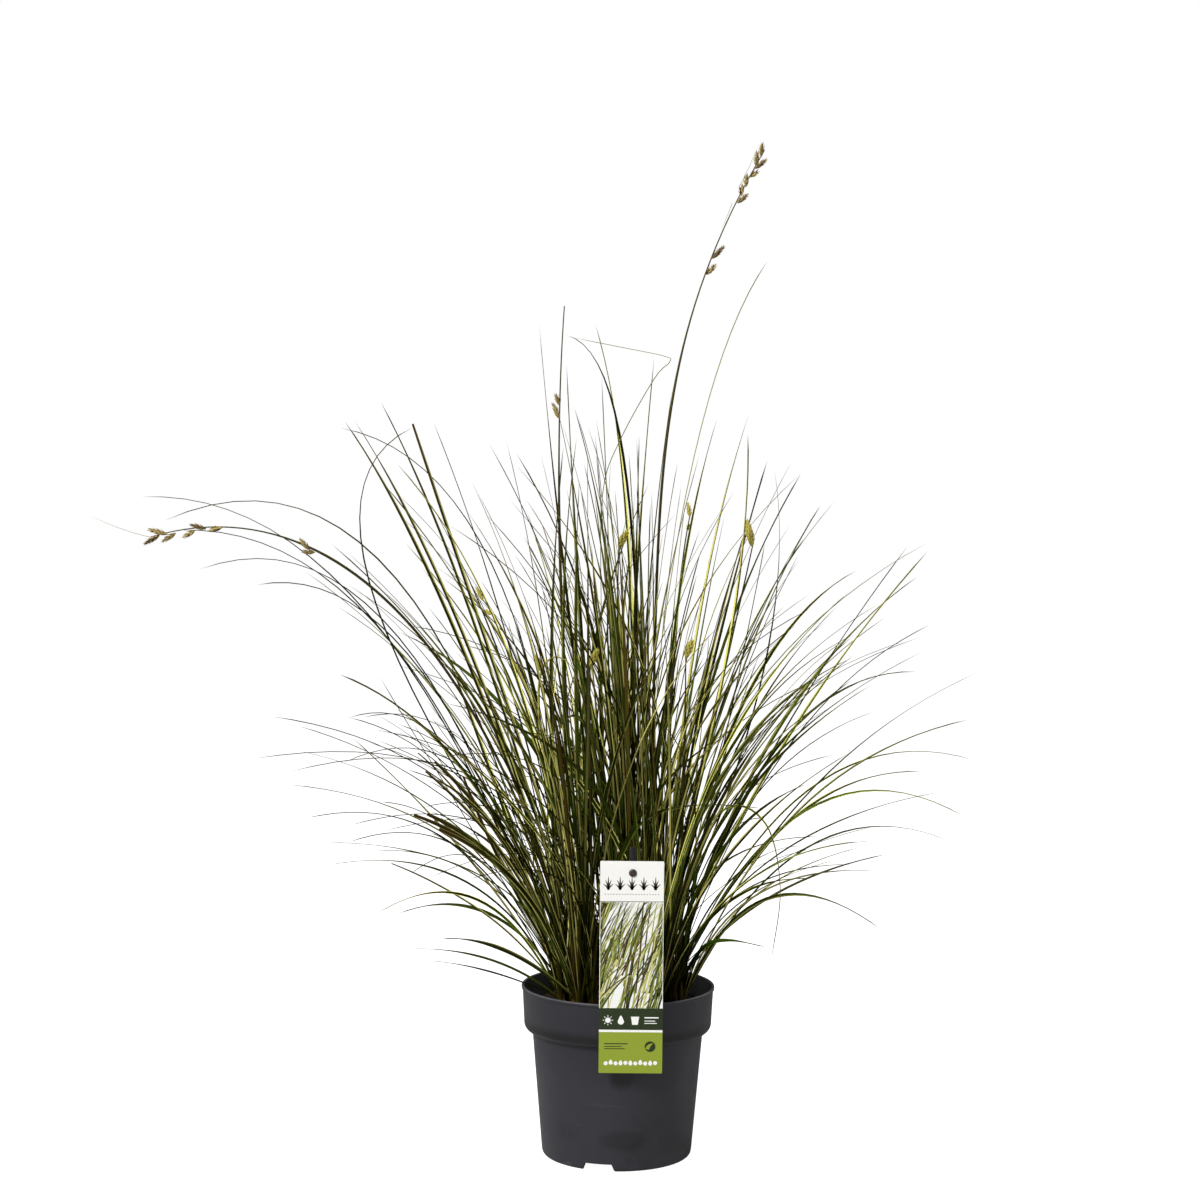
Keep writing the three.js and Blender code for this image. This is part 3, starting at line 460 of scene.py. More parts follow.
def lay_strip(bm, stations, sections, number, roll=0.0, twist=0.0):
    """Bends a grid round a path into a closed strip. Each station has a loop of (across, up) points."""
    last = len(stations) - 1
    chord = stations[last] - stations[0]
    level = np.array((-chord[1], chord[0], 0.0))
    if np.hypot(*level[:2]) < 1e-6:
        level = np.array((1.0, 0.0, 0.0))
    points = np.empty((last + 1, len(sections[0]), 3))
    for i in range(last + 1):
        along = stations[min(i + 2, last)] - stations[max(i - 2, 0)]
        along = along / np.linalg.norm(along)
        level = level - along * np.dot(level, along)
        level = level / np.linalg.norm(level)
        turn = roll + twist * i / last
        side = level * math.cos(turn) + np.cross(along, level) * math.sin(turn)
        up = np.cross(along, side)
        points[i] = stations[i] + sections[i][:, :1] * side + sections[i][:, 1:] * up
    numbers = bm.verts.layers.int.get("number") or bm.verts.layers.int.new("number")
    made = bmesh.ops.create_grid(
        bm, x_segments=len(sections[0]) - 1, y_segments=last, size=0.5, calc_uvs=True,
    )["verts"]
    for vertex, point in zip(made, points.reshape(-1, 3) * MM):
        vertex.co = point
        vertex[numbers] = number


def round_sections(radii, sides):
    """Loops of a round strip, one for each radius."""
    angles = np.linspace(0, 2 * math.pi, sides + 1)
    loop = np.stack([np.cos(angles), np.sin(angles)], 1)
    return [loop * radius for radius in radii]


BLADE_ACROSS = np.array([-1, -0.5, 0, 0.5, 1, 0.5, 0, -0.5, -1])
BLADE_IS_TOP = np.array([1, 1, 1, 1, 1, 0, 0, 0, 0])


def blade_sections(widths, keel=0.36, thickness=0.26):
    """Loops of a folded blade: its margins stand at the path and its midrib lies under it."""
    sections = []
    for width in widths:
        depth = -keel * width * (1 - np.abs(BLADE_ACROSS) ** 1.5)
        lift = min(thickness, 0.5 * width) * (1 - np.abs(BLADE_ACROSS) ** 3) * BLADE_IS_TOP
        sections.append(np.stack([BLADE_ACROSS * width / 2, depth + lift], 1))
    return sections


def along_path(points, share):
    """The point and the direction at a share of a path's stretches."""
    steps = len(points) - 1
    step = min(steps - 1, int(share * steps))
    direction = points[step + 1] - points[step]
    return points[step] + direction * (share * steps - step), direction / np.linalg.norm(direction)


def add_spikelet(bm, foot, along, length, number, plump):
    """A spikelet: a slim core, and a spiral of pointed fruits whose beaks stand off it."""
    turn = Vector(along).to_track_quat("Z", "Y")
    numbers = bm.verts.layers.int.get("number")
    core = Matrix.LocRotScale(
        Vector(foot + along * length * 0.5) * MM, turn, Vector((0.8, 0.8, length * 0.5)),
    )
    bmesh.ops.create_uvsphere(bm, u_segments=8, v_segments=6, radius=MM, matrix=core)
    fruits = round(length * 1.7)
    for i in range(fruits):
        share = (i + 0.5) / fruits
        fullness = math.sin(math.pi * share ** 0.75) ** 0.6
        swing = turn @ Matrix.Rotation(i * math.radians(137.5), 3, "Z").to_quaternion()
        degrees = 34 - 20 * share + 9 * math.sin(i * 2.3)
        lean = swing @ Matrix.Rotation(math.radians(degrees), 3, "Y").to_quaternion()
        out = np.array(swing @ Vector((1, 0, 0)))
        middle = foot + along * length * (share * 0.86 + 0.06) + out * 1.3 * fullness * plump
        shape = Matrix.LocRotScale(Vector(middle) * MM, lean, Vector((0.5 * plump, 0.8 * plump, 1.9)))
        fruit = bmesh.ops.create_uvsphere(bm, u_segments=6, v_segments=4, radius=MM, matrix=shape)["verts"]
        beak = max(fruit, key=lambda vertex: vertex.co.dot(Vector(lean @ Vector((0, 0, 1)))))
        beak.co += lean @ Vector((0, 0, 1.9 * MM))
        for vertex in fruit:
            vertex[numbers] = number + 1 + i


def strip_numbers(mesh):
    """The strip that each point belongs to."""
    numbers = np.zeros(len(mesh.vertices), np.int32)
    mesh.attributes["number"].data.foreach_get("value", numbers)
    return numbers


def finish_strips(piece, looks):
    """Gives each strip's points their looks by its number, and shades the piece smooth."""
    numbers = strip_numbers(piece.data)
    for name, values in looks.items():
        layer = piece.data.attributes.new(name, "FLOAT", "POINT")
        chosen = np.asarray(values, np.float32)[np.minimum(numbers, len(values) - 1)]
        layer.data.foreach_set("value", chosen)
    smooth_to(piece, 38)


def add_bake_columns(piece, count):
    """A second UV map, in which each strip has a column of its own."""
    mesh = piece.data
    corners = np.zeros(len(mesh.loops), np.int32)
    mesh.loops.foreach_get("vertex_index", corners)
    places = np.zeros(len(mesh.loops) * 2, np.float32)
    mesh.uv_layers["blade"].uv.foreach_get("vector", places)
    places = places.reshape(-1, 2)
    places[:, 0] = (strip_numbers(mesh)[corners] + 0.06 + 0.88 * places[:, 0]) / count
    places[:, 1] = 0.02 + 0.96 * places[:, 1]
    mesh.uv_layers.new(name="OFBake").uv.foreach_set("vector", places.ravel())


def across_and_along(tree):
    """How far a point lies across and along its strip, from 0 to 1."""
    return parts_of(tree, add(tree, "UVMap", uv_map="blade").outputs["UV"])[:2]


# plant fibre: fine veins that run along a leaf or a stem
plant_fibre, given, handed = new_group("plant fibre", ("Veins", "Depth"), ("Normal", "Vein"))
wave = math_of(plant_fibre, "SINE", times(plant_fibre, across_and_along(plant_fibre)[0], given["Veins"]))
feed(plant_fibre, handed, {
    "Normal": bumps_of(plant_fibre, wave, given["Depth"], 0.0001), "Vein": between(plant_fibre, wave, -1, 1),
})

stem_skin, tree, shader = new_material("flower stem skin")
fibre = add(tree, "Group", {"Veins": 75, "Depth": 0.4}, node_tree=plant_fibre)
place = object_place(tree)
z = parts_of(tree, place)[2]
patches = noise_of(tree, place, 55, 3)
colour = mixed(tree, fibre.outputs["Vein"], paint(52, 46, 16), paint(100, 92, 40))
colour = coated(tree, colour, [
    (between(tree, patches, 0.45, 0.75), 1, paint(80, 66, 44)),
    (between(tree, z, 0.74, 0.5), 0.75, paint(44, 40, 8)),
    (between(tree, z, 0.21, 0.15), 1, paint(92, 54, 32)),
])
feed(tree, shader, {
    "Base Color": colour, "Roughness": 0.5, "Specular IOR Level": 0.1, "Normal": fibre.outputs["Normal"],
})

ripe_husk, tree, shader = new_material("spikelet husk")
fine = noise_of(tree, object_place(tree), 900, 4)
colour = mixed(tree, carried(tree, "tint"), paint(66, 42, 22), paint(202, 178, 104))
colour = coated(tree, colour, [
    (between(tree, fine, 0.5, 0.75), 1, paint(60, 34, 24)),
    (carried(tree, "green"), 0.75, paint(196, 186, 80)),
])
feed(tree, shader, {"Base Color": colour, "Roughness": 0.6, "Normal": bumps_of(tree, fine, 0.5, 0.0003)})

stem_paths = []
for index, (clump, place, steps, curve, spikelets) in enumerate(FLOWER_STEMS):
    x, y = next((x, y) for c, p, x, y in crown_places if (c, p) == (clump, place))
    corners = [(x, y, STEM_FOOT_Z)] + curve
    path = on_curve(corners, np.linspace(0, 1, steps + 1))
    stem_paths.append(path)
    bm = bmesh.new()
    bm.loops.layers.uv.new("blade")
    shares = np.linspace(0, 1, 49)
    smooth = on_curve(corners, shares)
    smooth = np.vstack([smooth[:1], smooth, smooth[-1:]])
    radii = np.concatenate([[0], np.interp(shares, (0, 0.66, 0.78, 1), (1.35, 1.35, 0.75, 0.5)), [0]])
    lay_strip(bm, smooth, round_sections(radii, 6), 0)
    sheath = np.array([(x, y, z) for z in (119, 119, 128, 138, 147, 153, 160, 166, 166)])
    sheath[6:] += (on_curve(corners, [0.06])[0] - sheath[7]) * np.array([1, 1, 0]) * 0.6
    lay_strip(bm, sheath, round_sections((0, 2.5, 2.5, 2.3, 2.0, 1.8, 1.6, 1.3, 0), 10), 1)
    stem_faces = len(bm.faces)
    for count, (foot, tip) in enumerate(BRACTS.get(index, [])):
        foot, tip = np.array(foot, float), np.array(tip, float)
        sag = 0.07 * np.linalg.norm(tip - foot)
        bract = on_curve([foot, (foot + tip) / 2 - (0, 0, sag), tip], np.linspace(0, 1, 12))
        widths = np.concatenate([[0], 1.1 * (1 - np.linspace(0, 1, 11)) ** 0.7])
        lay_strip(bm, bract, blade_sections(widths), 2 + count)
    number = FIRST_SPIKELET_NUMBER
    greens = [0.7] * number
    for share, side_degrees, length in spikelets + MORE_SPIKELETS.get(index, []):
        foot, along = along_path(path, share)
        level = np.array((-along[1], along[0], 0.0))
        level /= np.linalg.norm(level)
        angle = math.radians(side_degrees)
        side = level * math.cos(angle) + np.cross(along, level) * math.sin(angle)
        leaning = along + side * SPIKELET_LEAN
        plump, growth = (1.7, 1.5) if index in PLUMP_STEMS else (1.05, 1.2)
        add_spikelet(bm, foot, leaning / np.linalg.norm(leaning), length * growth, number, plump)
        greens += [float(index in UNRIPE_STEMS)] * NUMBERS_PER_SPIKELET
        number += NUMBERS_PER_SPIKELET
    bm.faces.ensure_lookup_table()
    for face in bm.faces[stem_faces:]:
        face.material_index = 1
    bmesh.ops.remove_doubles(bm, verts=bm.verts, dist=0.001 * MM)
    piece = put_in_scene(f"flowering_stem_{index + 1}", bm, stem_skin, ripe_husk)
    tints = [(i * 0.618) % 1 for i in range(number)]
    finish_strips(piece, {"tint": tints, "green": greens})
    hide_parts(f"flower_stem_{index + 1}")
    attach(piece, "root")


# ---- the leafy shoots ----
# Each shoot is a crown with a fibrous sheath at its foot and thin, keeled blades that arch out of
# it, dark green with cream margins. The main blades are placed clear of one another. The ones in
# front, the drooping ones and the finest are not, and may cross others.
LEAVES_PER_SHOOT = 8
TRIES_PER_LEAF = 40
LEAF_WIDTH, CUT_LEAF_WIDTH = 3.2, 3.9
LEAF_CLEARANCE = 0.3
BLADE_FULLNESS = 1.3
REACHING_LEAVES = [
    # tip x, tip z, knee x, knee z; the last flag is a cut tip
    (-240, 645, -140, 515), (-235, 645, -135, 480), (-215, 660, -130, 500), (-190, 640, -115, 470, True),
    (-245, 635, -75, 610), (-405, 550, -170, 660), (-430, 570, -200, 580), (-380, 555, -190, 570),
    (-365, 520, -180, 590), (-320, 505, -160, 530), (-190, 635, -332, 560),
    (-70, 730, -52, 500), (-48, 695, -30, 450), (-50, 720, 25, 700), (-27, 730, 25, 560), (23, 705, 12, 450),
    (115, 777, 24, 660), (111, 630, 112, 470), (127, 618, 80, 430), (155, 600, 75, 440),
    (172, 577, 85, 440), (146, 541, 75, 400, True), (187, 558, 95, 420), (141, 602, 165, 440),
    (215, 513, 95, 460), (267, 530, 130, 370), (239, 536, 115, 380), (264, 511, 120, 400),
    (274, 473, 125, 400), (308, 434, 130, 350), (272, 422, 130, 430), (320, 350, 140, 390),
    (272, 337, 135, 350), (311, 299, 150, 386), (282, 287, 140, 340), (230, 208, 115, 300),
    (185, 273, 80, 235), (167, 238, 90, 240),
    (-245, 417, -115, 370), (-240, 388, -125, 415), (-241, 378, -120, 360), (-243, 365, -120, 260),
    (-186, 341, -100, 300, True), (-162, 346, -90, 260, True), (-205, 425, -100, 250),
    (-272, 298, -125, 340), (-221, 296, -120, 315), (-242, 270, -120, 315), (-265, 246, -110, 270),
    (-197, 245, -93, 223, True), (-215, 225, -110, 285), (-197, 204, -105, 235), (-152, 203, -85, 190),
    (-182, 190, -110, 195), (-170, 176, -100, 170),
]
STOUT_LEAVES = (0, 1, 2, 3, 24)
BLUNT_LEAVES = (0, 2, 17, 18, 19, 20, 22, 25, 38, 41)
PALE_LEAF = 16
HAIR_LEAVES = (4, 5, 6, 7, 8, 9, 10, 16, 26, 28, 39, 40, 44, 45, 46, 47)
BENT_LEAVES = [
    [(-12, 8, 300), (-18, 8, 500), (-17, 7, 585), (-2, 6, 630), (27, 4, 683), (40, 2, 697), (36, 1, 702),
     (0, -2, 709), (-43, -4, 717)],
    [(58, -14, 220), (73, -17, 293), (101, -19, 316), (130, -21, 295), (141, -23, 242), (131, -25, 184)],
    [(57, -24, 163), (75, -28, 190), (96, -31, 196), (128, -34, 191)],
]


def draws(seed):
    """A repeatable row of draws from 0 to 1."""
    state = [seed * 7919 + 104729]

    def draw(low=0.0, high=1.0):
        state[0] = state[0] * 48271 % 2147483647
        return low + (high - low) * (state[0] / 2147483647)

    draw(), draw()
    return draw


def width_share(t, cut_tip=False):
    """Share of the full width along a leaf: a narrow foot, and widest past the middle."""
    return (0.68 + 0.8 * t) * (1 - (0.6 if cut_tip else 1.0) * t ** 3)


def bars_of(points, radii, owner):
    """The stretches of a path as bars: start, end, radius, owner, and whether it is a foot."""
    bars = np.zeros((len(points) - 1, 9))
    bars[:, :3], bars[:, 3:6] = points[:-1], points[1:]
    bars[:, 6] = np.maximum(radii[:-1], radii[1:])
    bars[:, 7], bars[0, 8] = owner, 1
    return bars


# the bars of all that has grown so far
taken = [np.zeros((0, 9))]


def is_clear(bars):
    """Whether bars keep clear of all that grew before. Feet of one shoot may touch."""
    others = taken[0]
    d1 = (bars[:, 3:6] - bars[:, :3])[:, None]
    d2 = (others[:, 3:6] - others[:, :3])[None]
    r = bars[:, None, :3] - others[None, :, :3]
    a, e, f = (d1 * d1).sum(2), (d2 * d2).sum(2), (d2 * r).sum(2)
    c, b = (d1 * r).sum(2), (d1 * d2).sum(2)
    spread = a * e - b * b
    s = np.where(spread > 1e-12, np.clip((b * f - c * e) / np.maximum(spread, 1e-12), 0, 1), 0)
    t = (b * s + f) / e
    s = np.where(t < 0, np.clip(-c / a, 0, 1), np.where(t > 1, np.clip((b - c) / a, 0, 1), s))
    t = np.clip(t, 0, 1)
    apart = ((r + s[..., None] * d1 - t[..., None] * d2) ** 2).sum(2)
    room = bars[:, None, 6] + others[None, :, 6] + LEAF_CLEARANCE
    feet = (bars[:, None, 7] == others[None, :, 7]) & (bars[:, None, 8] > 0) & (others[None, :, 8] > 0)
    return bool(np.all(feet | (apart > room * room)))


def passes_rim_and_label(points):
    """Whether a leaf passes over the rim and stays out of the space before pot and label."""
    shares = np.array([0, 0.25, 0.5, 0.75, 1])[None, :, None]
    x, y, z = np.moveaxis(points[:-1, None] + (points[1:] - points[:-1])[:, None] * shares, 2, 0)
    over_rim = (np.hypot(x, y) < 79.5) | (z > 152.5)
    in_front = (y < -60) & (np.abs(x - 10.4) < 48) & (z < 320)
    return bool(np.all(over_rim & ~in_front))


def root_in(shoot, azimuth, lean):
    """A leaf starts on the side of its crown that it leans to, the leaning ones lower down."""
    lowness = min(1, lean / 60)
    reach = 3.2 * (0.25 + 0.5 * lowness)
    return np.array((
        shoot["x"] + reach * math.cos(azimuth), shoot["y"] + reach * math.sin(azimuth), 147 - 11 * lowness,
    ))


def arched_leaf(root, knee, tip, width, roll, cut_tip=False):
    """A leaf on a curve from its root, by its knee, to its tip, in 3 to 6 stretches."""
    first, second = knee - root, tip - knee
    cosine = np.dot(first, second) / (np.linalg.norm(first) * np.linalg.norm(second))
    bend = math.degrees(math.acos(max(-1, min(1, cosine))))
    steps = min(6, 3 + math.floor(bend / 33 + 0.5))
    return {
        "points": on_curve([root, knee, tip], np.linspace(0, 1, steps + 1)), "corners": [root, knee, tip],
        "width": width, "roll": roll, "cut_tip": cut_tip,
    }


def free_leaf(shoot, draw):
    """A leaf of no marked place: outer crowns lean out, and a leaning leaf reaches less far."""
    dx = shoot["x"] - 2
    edge = min(1, math.hypot(dx, shoot["y"] * 1.4) / 54)
    azimuth = math.atan2(shoot["y"], dx) + (draw() - 0.5) * 2 * math.pi * (1 - 0.6 * edge)
    in_front = max(0, -math.sin(azimuth))
    spread = draw()
    lean = (3 + 24 * spread + edge * 40 * spread ** 2) * (1 - 0.35 * in_front)
    reach = 585 * (1 - (lean / 95) ** 1.6) * draw(0.58, 0.98)
    early_lean = lean * draw(0.1, 0.55) - 9 * draw()
    knee_reach = reach * draw(0.5, 0.66)
    width = LEAF_WIDTH * draw(0.8, 1.14)
    roll = draw(-0.6, 0.6)
    root = root_in(shoot, azimuth, lean)

    def place_in_plane(distance, degrees):
        out, rise = math.sin(math.radians(degrees)), math.cos(math.radians(degrees))
        return root + distance * np.array((out * math.cos(azimuth), out * math.sin(azimuth), rise))

    return arched_leaf(root, place_in_plane(knee_reach, early_lean), place_in_plane(reach, lean), width, roll)


def best_shoot(x, y, z):
    """Low leaves grow from outer crowns on their side, upright ones from the emptiest."""
    lowness = min(1, math.hypot(x, y) / (z - 132))
    reach = 54 * lowness / math.hypot(x, y)
    return min(shoots, key=lambda shoot: math.hypot(shoot["x"] - x * reach, shoot["y"] - y * reach)
               + (9 - 7 * lowness) * len(shoot["leaves"]))


def reaching_leaf(marks, draw):
    """A leaf whose tip and knee are marked as seen from the front. Its depth is drawn."""
    tip_x, tip_z, knee_x, knee_z = marks[:4]
    cut_tip = len(marks) > 4
    depth = draw(-65, 65)
    shoot = best_shoot(tip_x, depth, tip_z)
    azimuth = math.atan2(depth - shoot["y"], tip_x - shoot["x"])
    lean = math.degrees(math.atan2(math.hypot(tip_x, depth), tip_z))
    root = root_in(shoot, azimuth, lean)
    knee = np.array((
        knee_x + 2 * draw(-6, 6), root[1] + (depth - root[1]) * 0.4, knee_z + 2 * draw(-6, 6),
    ))
    tip = np.array((tip_x + draw(-6, 6), depth, tip_z + draw(-6, 6)))
    width = CUT_LEAF_WIDTH if cut_tip else LEAF_WIDTH * draw(0.95, 1.25)
    return shoot, arched_leaf(root, knee, tip, width, draw(-0.4, 0.4), cut_tip)


def bent_leaf(shoot, bends):
    """A leaf with a fold or a loop, on a smooth curve through its bends."""
    root = root_in(shoot, math.atan2(bends[0][1] - shoot["y"], bends[0][0] - shoot["x"]), 0)
    knots = np.vstack([root, bends])

    def at(share):
        span = (len(knots) - 1) * share
        i = min(int(span), len(knots) - 2)
        w = span - i
        before = knots[i - 1] if i else 2 * knots[0] - knots[1]
        after = knots[i + 2] if i + 2 < len(knots) else 2 * knots[-1] - knots[-2]
        m0, m1 = 0.5 * (knots[i + 1] - before), 0.5 * (after - knots[i])
        rise = knots[i + 1] - knots[i]
        return knots[i] + m0 * w + (3 * rise - 2 * m0 - m1) * w ** 2 + (m0 + m1 - 2 * rise) * w ** 3

    steps = 2 * len(bends)
    return {
        "points": np.array([at(i / steps) for i in range(steps + 1)]), "at": at,
        "width": LEAF_WIDTH, "roll": 0.0, "cut_tip": False, "full": 0.6, "end": 0.9, "taper": 0.3,
    }


def settles(shoot, leaf, crowded=False):
    """Keeps a leaf that is clear of the rim, the label and, unless it is crowded, the others."""
    if not passes_rim_and_label(leaf["points"]):
        return False
    shares = np.linspace(0, 1, len(leaf["points"]))
    halves = leaf["width"] * width_share(shares, leaf["cut_tip"]) / 2
    bars = bars_of(leaf["points"], halves, shoots.index(shoot))
    if not crowded and not is_clear(bars):
        return False
    taken[0] = np.vstack([taken[0], bars])
    shoot["leaves"].append(leaf)
    return True


for index, (stem, path) in enumerate(zip(FLOWER_STEMS, stem_paths)):
    rows = [bars_of(path, np.full(len(path), 1.25), 100 + index)]
    for share, _, length in stem[4]:
        point, along = along_path(path, share)
        rows.append(bars_of(np.array([point, point + along * length]), np.full(2, 5.0), 100 + index))
        rows[-1][0, 8] = 0
    taken[0] = np.vstack([taken[0], *rows])
stem_places = [(stem[0], stem[1]) for stem in FLOWER_STEMS]
shoots = [
    {"x": x, "y": y, "leaves": []}
    for clump, place, x, y in crown_places if (clump, place) not in stem_places
]
for index, shoot in enumerate(shoots):
    upright = np.array([(shoot["x"], shoot["y"], CROWN_FOOT_Z), (shoot["x"], shoot["y"], CROWN_TOP_Z)])
    taken[0] = np.vstack([taken[0], bars_of(upright, np.full(2, 3.6), index)])
stake_room = np.array([(11, -73, 112), (11, -73, 285)])
taken[0] = np.vstack([taken[0], bars_of(stake_room, np.full(2, 14.0), 200)])

# A leaf's full is the share of its width that is drawn, end the width of its tip, taper the
# share of its length that narrows to it, and facing says that its upper side turns to the front.
for index, bends in enumerate(BENT_LEAVES):
    shoot = best_shoot(*bends[0])
    leaf = bent_leaf(shoot, bends)
    looks = (0.26, 0.6, 0.1, 1) if index == 0 else (1.5, 0.9, 0.4, 0)
    leaf.update(zip(("full", "end", "tint", "cream"), looks))
    settles(shoot, leaf)
for index, marks in enumerate(REACHING_LEAVES):
    draw = draws(index + 101)
    for attempt in range(TRIES_PER_LEAF):
        shoot, leaf = reaching_leaf(marks, draw)
        stout, cut_tip = index in STOUT_LEAVES, leaf["cut_tip"]
        leaf["full"] = 1.2 if stout else 0.8 if cut_tip else 0.45 if index in HAIR_LEAVES else 1.15
        leaf["end"] = 1.5 if index in BLUNT_LEAVES else 0.9
        leaf["taper"] = 0.15 if stout else 0.4
        leaf["facing"] = stout or cut_tip
        if index == PALE_LEAF:
            leaf["full"], leaf["tint"], leaf["cream"] = 0.24, 0.05, 0.6
        if settles(shoot, leaf):
            break
for index, shoot in enumerate(shoots):
    draw = draws(index + 1001)
    for slot in range(len(shoot["leaves"]), LEAVES_PER_SHOOT):
        for attempt in range(TRIES_PER_LEAF):
            if settles(shoot, free_leaf(shoot, draw)):
                break

# cut leaves and a few others in front of the tuft, and drooping ones that curl over
FRONT_LEAVES = [
    # tip x, tip z, knee x, knee z, depth, width, whether the tip is cut
    (-177, 306, -70, 266, -50, 4.0, True), (-166, 306, -67, 260, -44, 4.4, True),
    (-155, 301, -66, 252, -38, 3.4, True), (-155, 295, -64, 254, -57, 4.2, True),
    (-135, 339, -99, 238, -45, 2.8, True), (-160, 351, -72, 269, -40, 3.8, True),
    (-170, 406, -82, 288, -30, 2.6, False), (155, 601, -32, 429, 0, 1.4, False),
    (164, 498, -7, 384, -20, 1.3, False), (224, 490, 45, 384, -20, 1.8, False),
]
DROOPING_LEAVES = [
    # fullness, taper, bends
    (0.85, 0.4, [
        (-65, -30, 352), (-71, -32, 404), (-68, -34, 431), (-57, -36, 442), (-43, -37, 434),
        (-35, -38, 408)]),
    (0.6, 0.4, [
        (18, -24, 230), (7, -28, 290), (-12, -34, 328), (-38, -38, 360), (-64, -42, 375), (-108, -46, 377)]),
    (0.8, 0.4, [
        (-17, -32, 318), (-26, -36, 371), (-33, -38, 388), (-44, -40, 391), (-58, -42, 378),
        (-72, -43, 357)]),
    (0.8, 0.4, [
        (-4, -40, 240), (9, -46, 286), (27, -50, 307), (50, -54, 315), (80, -57, 318), (121, -60, 316)]),
    (0.8, 0.4, [
        (50, -30, 200), (72, -36, 288), (100, -40, 315), (128, -42, 296), (139, -42, 242), (132, -42, 180)]),
    (0.85, 0.1, [
        (-51, -36, 186), (-80, -40, 250), (-104, -42, 290), (-132, -44, 319), (-156, -46, 335),
        (-183, -48, 345)]),
]
for fullness, taper, bends in DROOPING_LEAVES:
    shoot = best_shoot(*bends[0])
    leaf = bent_leaf(shoot, bends)
    leaf["full"], leaf["taper"], leaf["facing"] = fullness, taper, taper < 0.3
    settles(shoot, leaf, crowded=True)
for index, (tip_x, tip_z, knee_x, knee_z, depth, width, cut_tip) in enumerate(FRONT_LEAVES):
    shoot = best_shoot(tip_x, depth, tip_z)
    root = root_in(shoot, math.atan2(depth - shoot["y"], tip_x - shoot["x"]), 45)
    knee = np.array((knee_x, root[1] + (depth - root[1]) * 0.5, knee_z))
    leaf = arched_leaf(root, knee, np.array((tip_x, depth, tip_z)), width / 1.2, 0.2, cut_tip)
    leaf["full"], leaf["end"], leaf["taper"], leaf["facing"] = 1.35, 0.5, 0.3, True
    settles(shoot, leaf, crowded=True)


def wandering_leaf(shoot, draw, least_lean, most_lean, reach_share, widths, arching=False):
    """A leaf that leans to any side and swings out of its own upright plane."""
    azimuth = draw(-math.pi, math.pi)
    lean = least_lean + (most_lean - least_lean) * draw() ** 1.6
    if math.cos(azimuth) > 0.3 and (draw() < 0.5 or lean > 30):
        azimuth = math.pi - azimuth
    reach = 560 * (1 - (lean / 110) ** 1.4) * draw(*reach_share)
    root = root_in(shoot, azimuth, lean)
    out = np.array((math.cos(azimuth), math.sin(azimuth), 0))
    across = np.array((-out[1], out[0], 0))
    rise = math.radians(lean * draw(0.0, 0.7))
    knee = root + reach * draw(0.45, 0.65) * (out * math.sin(rise) + (0, 0, math.cos(rise)))
    bow = draw(-1, 1)
    knee -= across * reach * 0.2 * bow
    fall = math.radians(lean)
    tip = root + reach * (out * math.sin(fall) + (0, 0, math.cos(fall))) + across * reach * 0.28 * bow
    if arching:
        fall = math.radians(draw(55, 115))
        beyond = reach * draw(0.3, 0.5) * (out * math.sin(fall) + (0, 0, math.cos(fall)))
        tip = knee + beyond + across * reach * 0.3 * bow
    return arched_leaf(root, knee, tip, draw(*widths), draw(-0.8, 0.8))


# finer leaves that fill the clump, and hair-thin ones that arch across the others
for index, shoot in enumerate(shoots):
    draw = draws(index + 7001)
    fine, hair = (3, 2) if shoot["x"] < 25 else (2, 1)
    for slot in range(fine + hair):
        for attempt in range(8):
            if slot < fine:
                leaf = wandering_leaf(shoot, draw, 4, 40, (0.45, 0.9), (2.6, 3.8))
            else:
                leaf = wandering_leaf(shoot, draw, 12, 62, (0.6, 1.15), (1.1, 1.6), arching=draw() < 0.6)
                leaf["full"], leaf["taper"], leaf["end"] = 1.0, 0.3, 0.8
            tip_x, tip_y, tip_z = leaf["corners"][2]
            in_outline = abs(tip_y) < 240 and tip_z < 650 - 0.6 * max(0, tip_x)
            if in_outline and settles(shoot, leaf, crowded=attempt > 3):
                break

leaf_skin, tree, shader = new_material("sedge leaf")
fibre = add(tree, "Group", {"Veins": 88, "Depth": 0.12}, node_tree=plant_fibre)
u, t = across_and_along(tree)
LOOKS = ("tint", "cream", "lopsided", "dry")
tint, cream, lopsided, dry = (carried(tree, name) for name in LOOKS)
half = math_of(tree, "FRACT", times(tree, u, 2))
middle = math_of(tree, "ADD", times(tree, lopsided, 0.28), 0.5)
side = times(tree, math_of(tree, "ABSOLUTE", math_of(tree, "SUBTRACT", half, middle)), 2)
streak_place = add(tree, "CombineXYZ", {
    "X": times(tree, u, 12), "Y": times(tree, t, 1.5), "Z": times(tree, tint, 60),
}).outputs["Vector"]
streaks = noise_of(tree, streak_place, 1.6, 4)
edge = math_of(tree, "ADD", side, times(tree, math_of(tree, "SUBTRACT", streaks, 0.5), 0.3))
inset = math_of(tree, "SUBTRACT", edge, between(tree, tint, 0.0, 1.0, 0.5, 0.72))
striped = times(tree, between(tree, inset, 0.0, 0.05), cream)
# the blades' undersides are painted darker and browner, as painted shade on the side turned from the light
under = between(tree, u, 0.495, 0.505)
tips = between(tree, math_of(tree, "ADD", t, times(tree, tint, 0.1)), 0.7, 1.0)
# the feet of the leaves are reddish brown, and are painted darker as painted shade low in the tuft
roots = between(tree, t, 0.16, 0.02)
colour = mixed(tree, between(tree, streaks, 0.43, 0.61), paint(12, 8, 1), paint(80, 112, 18))
colour = coated(tree, colour, [
    (between(tree, tint, 0.5, 0.85), 0.85, paint(20, 13, 1)),
    (between(tree, tint, 0.3, 0.0), 0.7, paint(104, 130, 40)),
    (striped, 1, paint(253, 244, 138)), (under, 0.55, paint(30, 26, 2)),
    (tips, 0.75, paint(60, 46, 20)), (roots, 0.8, paint(48, 28, 12)),
])
dry_colour = mixed(tree, streaks, paint(44, 30, 8), paint(104, 84, 34))
